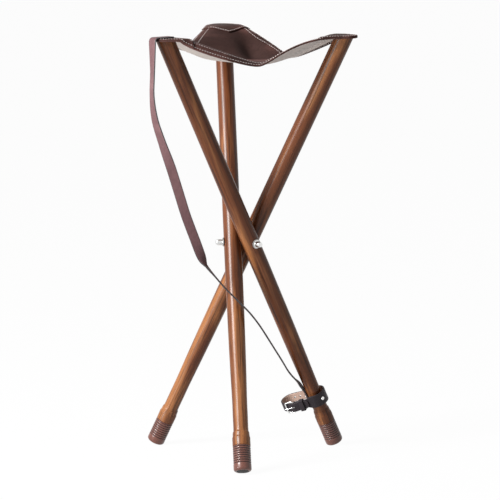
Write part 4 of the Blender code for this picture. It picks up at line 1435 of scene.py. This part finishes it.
class STOOL_OT_closure_strap(bpy.types.Operator):
    """Models the collar on the left ankle that runs on into the buckled loop"""

    bl_idname = "stool.closure_strap"
    bl_label = "Closure strap"

    # Where the collar starts to narrow to the loop, and over what length
    NARROW_FROM = 0.003
    NARROW_OVER = 0.009
    # Points of the tail that keep the loop's width, up to the last, and the last one's share of it
    TAIL_POINTS = 4
    TAIL_END = 0.6
    # The prong's slot: past the heel, off the run, length, depth and room beside the prong
    SLOT_AT = (0.0020, 0.0030)
    SLOT_LENGTH = 0.0110
    SLOT_DEPTH = 0.0096
    SLOT_ROOM = 0.0009
    # A four-sided drill of this radius is 1 across
    SQUARE_DRILL = 0.7071
    # The punched holes in the back run: where they start, and the length that they leave free
    HOLES = 4
    HOLE_RADIUS = 0.0016
    HOLE_DEPTH = 0.008
    HOLE_FROM = 0.012
    HOLE_SPARE = 0.014
    RIVET_HOLE = 0.0018
    RIVET_DEPTH = 0.010

    def cut_holes(self, piece, form, prong):
        """Cuts the prong's slot with a square drill, and the round holes."""
        size = Matrix.Diagonal((self.SLOT_LENGTH, self.SLOT_DEPTH, prong + self.SLOT_ROOM, 1.0))
        corner_on = Matrix.Rotation(math.pi / 4.0, 4, "Z")
        slot = form.on_run(form.heel + self.SLOT_AT[0], self.SLOT_AT[1])
        bore(piece, self.SQUARE_DRILL, 1.0, slot @ size @ corner_on, 4)
        for k in range(self.HOLES):
            spot = form.run(self.HOLE_FROM + k * (form.tip - self.HOLE_SPARE) / (self.HOLES - 1.0), 0.0)
            across = along((0.0, 1.0, 0.0), (spot.x, -spot.y, 0.0))
            bore(piece, self.HOLE_RADIUS, self.HOLE_DEPTH, across, 20)
        rivet = toward(RIVET_ANGLE)
        bore(piece, self.RIVET_HOLE, self.RIVET_DEPTH, along(rivet, rivet * form.collar), 20)

    def execute(self, context):
        strap, paint = context.scene.stool_straps, context.scene.stool_colours
        form = Closure(context.scene)
        path = form.line()
        last = len(path) - 1
        rows = []
        for k, p in enumerate(path):
            normal = heading(path, k).cross(UP)
            narrow = ease((p.x - self.NARROW_FROM) / self.NARROW_OVER)
            width = strap.collar_width + (strap.loop_width - strap.collar_width) * narrow
            if k > last - self.TAIL_POINTS:
                width = strap.loop_width * (self.TAIL_END if k == last else 1.0)
            rows.append([p + UP * w + normal * h for w, h in strap_section(width, strap.thickness)])
        piece = strip("closure_collar_and_loop", rows)
        self.cut_holes(piece, form, strap.prong)
        place(piece, form.frame)
        materials = [closure_finish(paint), closure_flesh_finish(paint)]
        dress(piece, materials, "closure", ["closure_strap"], 40.0)
        back = form.frame.inverted()
        for face in piece.data.polygons:
            c = back @ face.center
            facing = (back.to_3x3() @ face.normal).normalized()
            from_middle = Vector((c.x - min(max(c.x, 0.0), form.tip), c.y, 0.0))
            if from_middle.length < 1e-6 or abs(facing.z) >= 0.5:
                continue
            if facing.dot(from_middle.normalized()) < -0.6:
                face.material_index = 1
        return {"FINISHED"}


class STOOL_OT_buckle(bpy.types.Operator):
    """Models the buckle, its prong and keeper, the collar's rivet and the carrying strap's stud"""

    bl_idname = "stool.buckle"
    bl_label = "Buckle, rivet and stud"

    # The buckle's corner radius, and its gap to the strap
    BEND = 0.0022
    FRAME_GAP = 0.0004
    # The prong's eye: where it starts, the angle of a step, and its steps
    EYE_START = -20.0
    EYE_STEP = -12.5
    EYE_STEPS = 21
    # How far the prong reaches past the buckle's far side
    PRONG_PAST = 0.0030
    # The keeper: place on the run, inner depth, room beside the strap, wall, width and points round it
    KEEPER_BACK = 0.0150
    KEEPER_OFF = 0.0019
    KEEPER_DEPTH = 0.0074
    KEEPER_ROOM = 0.0010
    KEEPER_WALL = 0.0015
    KEEPER_WIDTH = 0.008
    KEEPER_POINTS = 32
    # How square the keeper's corners are
    KEEPER_SQUARE = 0.86
    RIVET_RADIUS = 0.0030
    RIVET_SHANK = 0.0015
    STUD_SHANK = 0.0011
    HEAD_HEIGHT = 0.0012

    def buckle(self, form, strap):
        half = strap.loop_width / 2.0 + self.FRAME_GAP + form.bar - self.BEND
        toe, heel = form.toe - self.BEND, form.heel + self.BEND
        outline = []
        for p, z, start in ((toe, half, 0), (heel, half, 90), (heel, -half, 180), (toe, -half, 270)):
            for k in range(9):
                a = math.radians(start + 11.25 * k)
                spot = form.run(p + self.BEND * math.cos(a), form.bar_off, z + self.BEND * math.sin(a))
                outline.append(spot)
        return wire("buckle", outline, form.bar, cyclic=True)

    def prong(self, form, strap):
        radius = strap.prong / 2.0
        ring, long = form.bar + CLEAR + radius, form.toe - form.heel
        heel = form.run(form.heel, form.bar_off)
        bent = []
        for k in range(self.EYE_STEPS):
            a = math.radians(self.EYE_START + self.EYE_STEP * k)
            bent.append(heel + form.along * (ring * math.cos(a)) + form.out * (ring * math.sin(a)))
        for reach in (0.25 * long, 0.5 * long, 0.75 * long, long + self.PRONG_PAST):
            bent.append(heel + form.along * reach + form.out * ring)
        return wire("buckle_tongue", bent, radius)

    def keeper(self, strap):
        deep, tall, wall = self.KEEPER_DEPTH, strap.loop_width + self.KEEPER_ROOM, self.KEEPER_WALL
        section = strap_section(self.KEEPER_WIDTH, wall, 4)
        rows = []
        for k in range(self.KEEPER_POINTS):
            a = FULL_TURN * k / self.KEEPER_POINTS
            c, s = math.cos(a), math.sin(a)
            stretch = 1.0 / max(abs(c), abs(s)) ** self.KEEPER_SQUARE
            y, z = c * stretch * (deep + wall) / 2.0, s * stretch * (tall + wall) / 2.0
            out = Vector((0.0, c / deep, s / tall)).normalized()
            rows.append([Vector((w, y, z)) + out * h for w, h in section])
        return strip("keeper_loop", rows, ring=True)

    def rivet(self, form):
        low, high, head, shank = -form.half - CLEAR, form.half + CLEAR, self.RIVET_RADIUS, self.RIVET_SHANK
        burr = form.leg_radius + CLEAR - form.collar
        profile = [(head - 0.0004, burr), (head, burr + 0.0003), (head, low), (shank, low)]
        profile += [(shank, high), (head - 0.0001, high)]
        return turned("rivet", profile + dome(head, high + 0.0003, self.HEAD_HEIGHT), 32)

    def stud(self, strap):
        wide, shank = strap.stud / 2.0, self.STUD_SHANK
        profile = [(0.0004, -0.0098), (shank, -0.0070), (shank, 0.0), (wide - 0.0001, 0.0)]
        return turned("stud", profile + dome(wide, 0.0002, self.HEAD_HEIGHT), 28)

    def execute(self, context):
        legs, strap = context.scene.stool_legs, context.scene.stool_straps
        paint = context.scene.stool_colours
        form = Closure(context.scene)
        chrome, leather = chrome_finish(paint), closure_finish(paint)
        keeper_spot = form.frame @ form.on_run(form.heel - self.KEEPER_BACK, self.KEEPER_OFF)
        rivet_way, stud_way = toward(RIVET_ANGLE), toward(STRAP_END_ANGLE)
        rivet_spot = form.frame @ along(rivet_way, rivet_way * form.collar)
        off = form.leg_radius + STRAP_GAP + strap.carry_thickness + 0.0001
        up = strap.height - legs.pivot + STUD_RISE
        stud_spot = LEG["left"] @ along(stud_way, stud_way * off + UP * up)
        pieces = (
            (self.buckle(form, strap), form.frame, chrome, "closure", "buckle_frame", "chrome", 60.0),
            (self.prong(form, strap), form.frame, chrome, "prong", "buckle_prong", "chrome", 60.0),
            (self.keeper(strap), keeper_spot, leather, "closure", "buckle_keeper", "strap_leather", 45.0),
            (self.rivet(form), rivet_spot, chrome, "closure", "closure_rivet", "chrome", 40.0),
            (self.stud(strap), stud_spot, chrome, "left_leg", "strap_stud", "chrome", 40.0),
        )
        for piece, spot, material, body, node_name, slot, angle in pieces:
            place(piece, spot)
            dress(piece, [material], body, [node_name], angle)
        return {"FINISHED"}


# Stage


class STOOL_OT_stage(bpy.types.Operator):
    """Sets the floor, the studio lights, the surroundings and the camera"""

    bl_idname = "stool.stage"
    bl_label = "Stage"

    CAMERA_SPOT = (-0.6155, -6.2962, 1.2186)
    CAMERA_TURN = (math.radians(82.097), 0.0, math.radians(-5.587))
    LENS_MM = 279.4
    SENSOR_MM = 36.0
    VIEW_END = 200.0
    FLOOR_SIZE = 80.0
    # The share of plain white in the floor that is seen, and the strength of the light all round
    FLOOR_WHITE = 0.97
    AROUND = 0.05
    WHITE = (1.0, 1.0, 1.0, 1.0)
    LAMP_AIM = (0.0, 0.0, 0.4)
    # Place, width and height of each lamp, and its watts
    LAMPS = {
        "key_softbox": ((-2.35, -1.30, 2.10), (1.1, 0.6), 190.0),
        "fill_softbox": ((-3.0, -1.5, 0.35), (1.0, 0.5), 45.0),
    }

    def lamp(self, name, spot, size, watts):
        data = bpy.data.lights.new(name, "AREA")
        data.shape = "RECTANGLE"
        data.size, data.size_y = size
        data.energy = watts
        lamp = new_object(name, data)
        lamp.location = spot
        lamp.rotation_euler = (Vector(self.LAMP_AIM) - Vector(spot)).to_track_quat("-Z", "Y").to_euler()

    def shown_ray(self, tree):
        """1 for what the camera sees directly, in a mirror or through glass."""
        rays = node(tree, "LightPath")
        seen = combine(tree, "MAXIMUM", rays["Is Camera Ray"], rays["Is Glossy Ray"])
        return combine(tree, "MAXIMUM", seen, rays["Is Transmission Ray"])

    def empty_tree(self, owner):
        owner.use_nodes = True
        owner.node_tree.nodes.clear()
        return owner.node_tree

    def show(self, tree, share, first, second, kind):
        """Mixes two shaders and gives them to the output."""
        mixed = node(tree, "MixShader", {"Fac": share, 1: first, 2: second})
        node(tree, f"Output{kind}", {"Surface": mixed["Shader"]})

    def floor(self, paint):
        bpy.ops.object.select_all(action="DESELECT")
        bpy.ops.mesh.primitive_plane_add(size=self.FLOOR_SIZE)
        floor = bpy.context.object
        floor.name = "studio_floor"
        made = bpy.data.materials.new("studio_floor")
        tree = self.empty_tree(made)
        plain = node(tree, "BsdfDiffuse", {"Color": (*paint.floor, 1.0)})["BSDF"]
        glow = node(tree, "Emission", {"Color": self.WHITE, "Strength": 1.0})["Emission"]
        share = combine(tree, "MULTIPLY", self.shown_ray(tree), self.FLOOR_WHITE)
        self.show(tree, share, plain, glow, "Material")
        floor.data.materials.append(made)

    def surroundings(self, scene):
        scene.world = scene.world or bpy.data.worlds.new("studio")
        tree = self.empty_tree(scene.world)
        around, shown = (
            node(tree, "Background", {"Color": self.WHITE, "Strength": strength})["Background"]
            for strength in (self.AROUND, 1.0)
        )
        self.show(tree, self.shown_ray(tree), around, shown, "World")

    def camera(self, scene):
        camera = new_object("photo_camera", bpy.data.cameras.new("photo_camera"))
        camera.location = self.CAMERA_SPOT
        camera.rotation_euler = self.CAMERA_TURN
        camera.data.sensor_fit = "HORIZONTAL"
        camera.data.sensor_width = self.SENSOR_MM
        camera.data.lens = self.LENS_MM
        camera.data.clip_end = self.VIEW_END
        scene.camera = camera

    def execute(self, context):
        scene = context.scene
        scene.view_settings.view_transform = "Standard"
        self.floor(scene.stool_colours)
        self.surroundings(scene)
        for name, (spot, size, watts) in self.LAMPS.items():
            self.lamp(name, spot, size, watts)
        self.camera(scene)
        return {"FINISHED"}


# Sidebar and registration


class STOOL_PT_panel(bpy.types.Panel):
    """Lists the stool's pieces in the order in which they are made"""

    bl_idname = "STOOL_PT_panel"
    bl_label = "Folding tripod stool"
    bl_space_type = "VIEW_3D"
    bl_region_type = "UI"
    bl_category = "Stool"

    def draw(self, context):
        for maker in MAKERS:
            self.layout.operator(maker.bl_idname)
        for group in SETTINGS:
            box = self.layout.box()
            settings = getattr(context.scene, group)
            for prop in settings.bl_rna.properties:
                if prop.identifier not in {"rna_type", "name"}:
                    box.prop(settings, prop.identifier)


SETTINGS = {
    "stool_legs": StoolLegSizes,
    "stool_seat": StoolSeatSizes,
    "stool_straps": StoolStrapSizes,
    "stool_colours": StoolColours,
}
MAKERS = (
    STOOL_OT_stage,
    STOOL_OT_carry_strap,
    STOOL_OT_legs,
    STOOL_OT_feet,
    STOOL_OT_bolt,
    STOOL_OT_sling,
    STOOL_OT_patches,
    STOOL_OT_stitches,
    STOOL_OT_closure_strap,
    STOOL_OT_buckle,
)


def register():
    for kind in (*SETTINGS.values(), *MAKERS, STOOL_PT_panel):
        bpy.utils.register_class(kind)
    for name, kind in SETTINGS.items():
        setattr(bpy.types.Scene, name, PointerProperty(type=kind))


def unregister():
    for name in SETTINGS:
        delattr(bpy.types.Scene, name)
    for kind in (STOOL_PT_panel, *reversed(MAKERS), *SETTINGS.values()):
        bpy.utils.unregister_class(kind)


def main():
    register()
    for maker in MAKERS:
        area, name = maker.bl_idname.split(".")
        getattr(getattr(bpy.ops, area), name)()


if __name__ == "__main__":
    main()
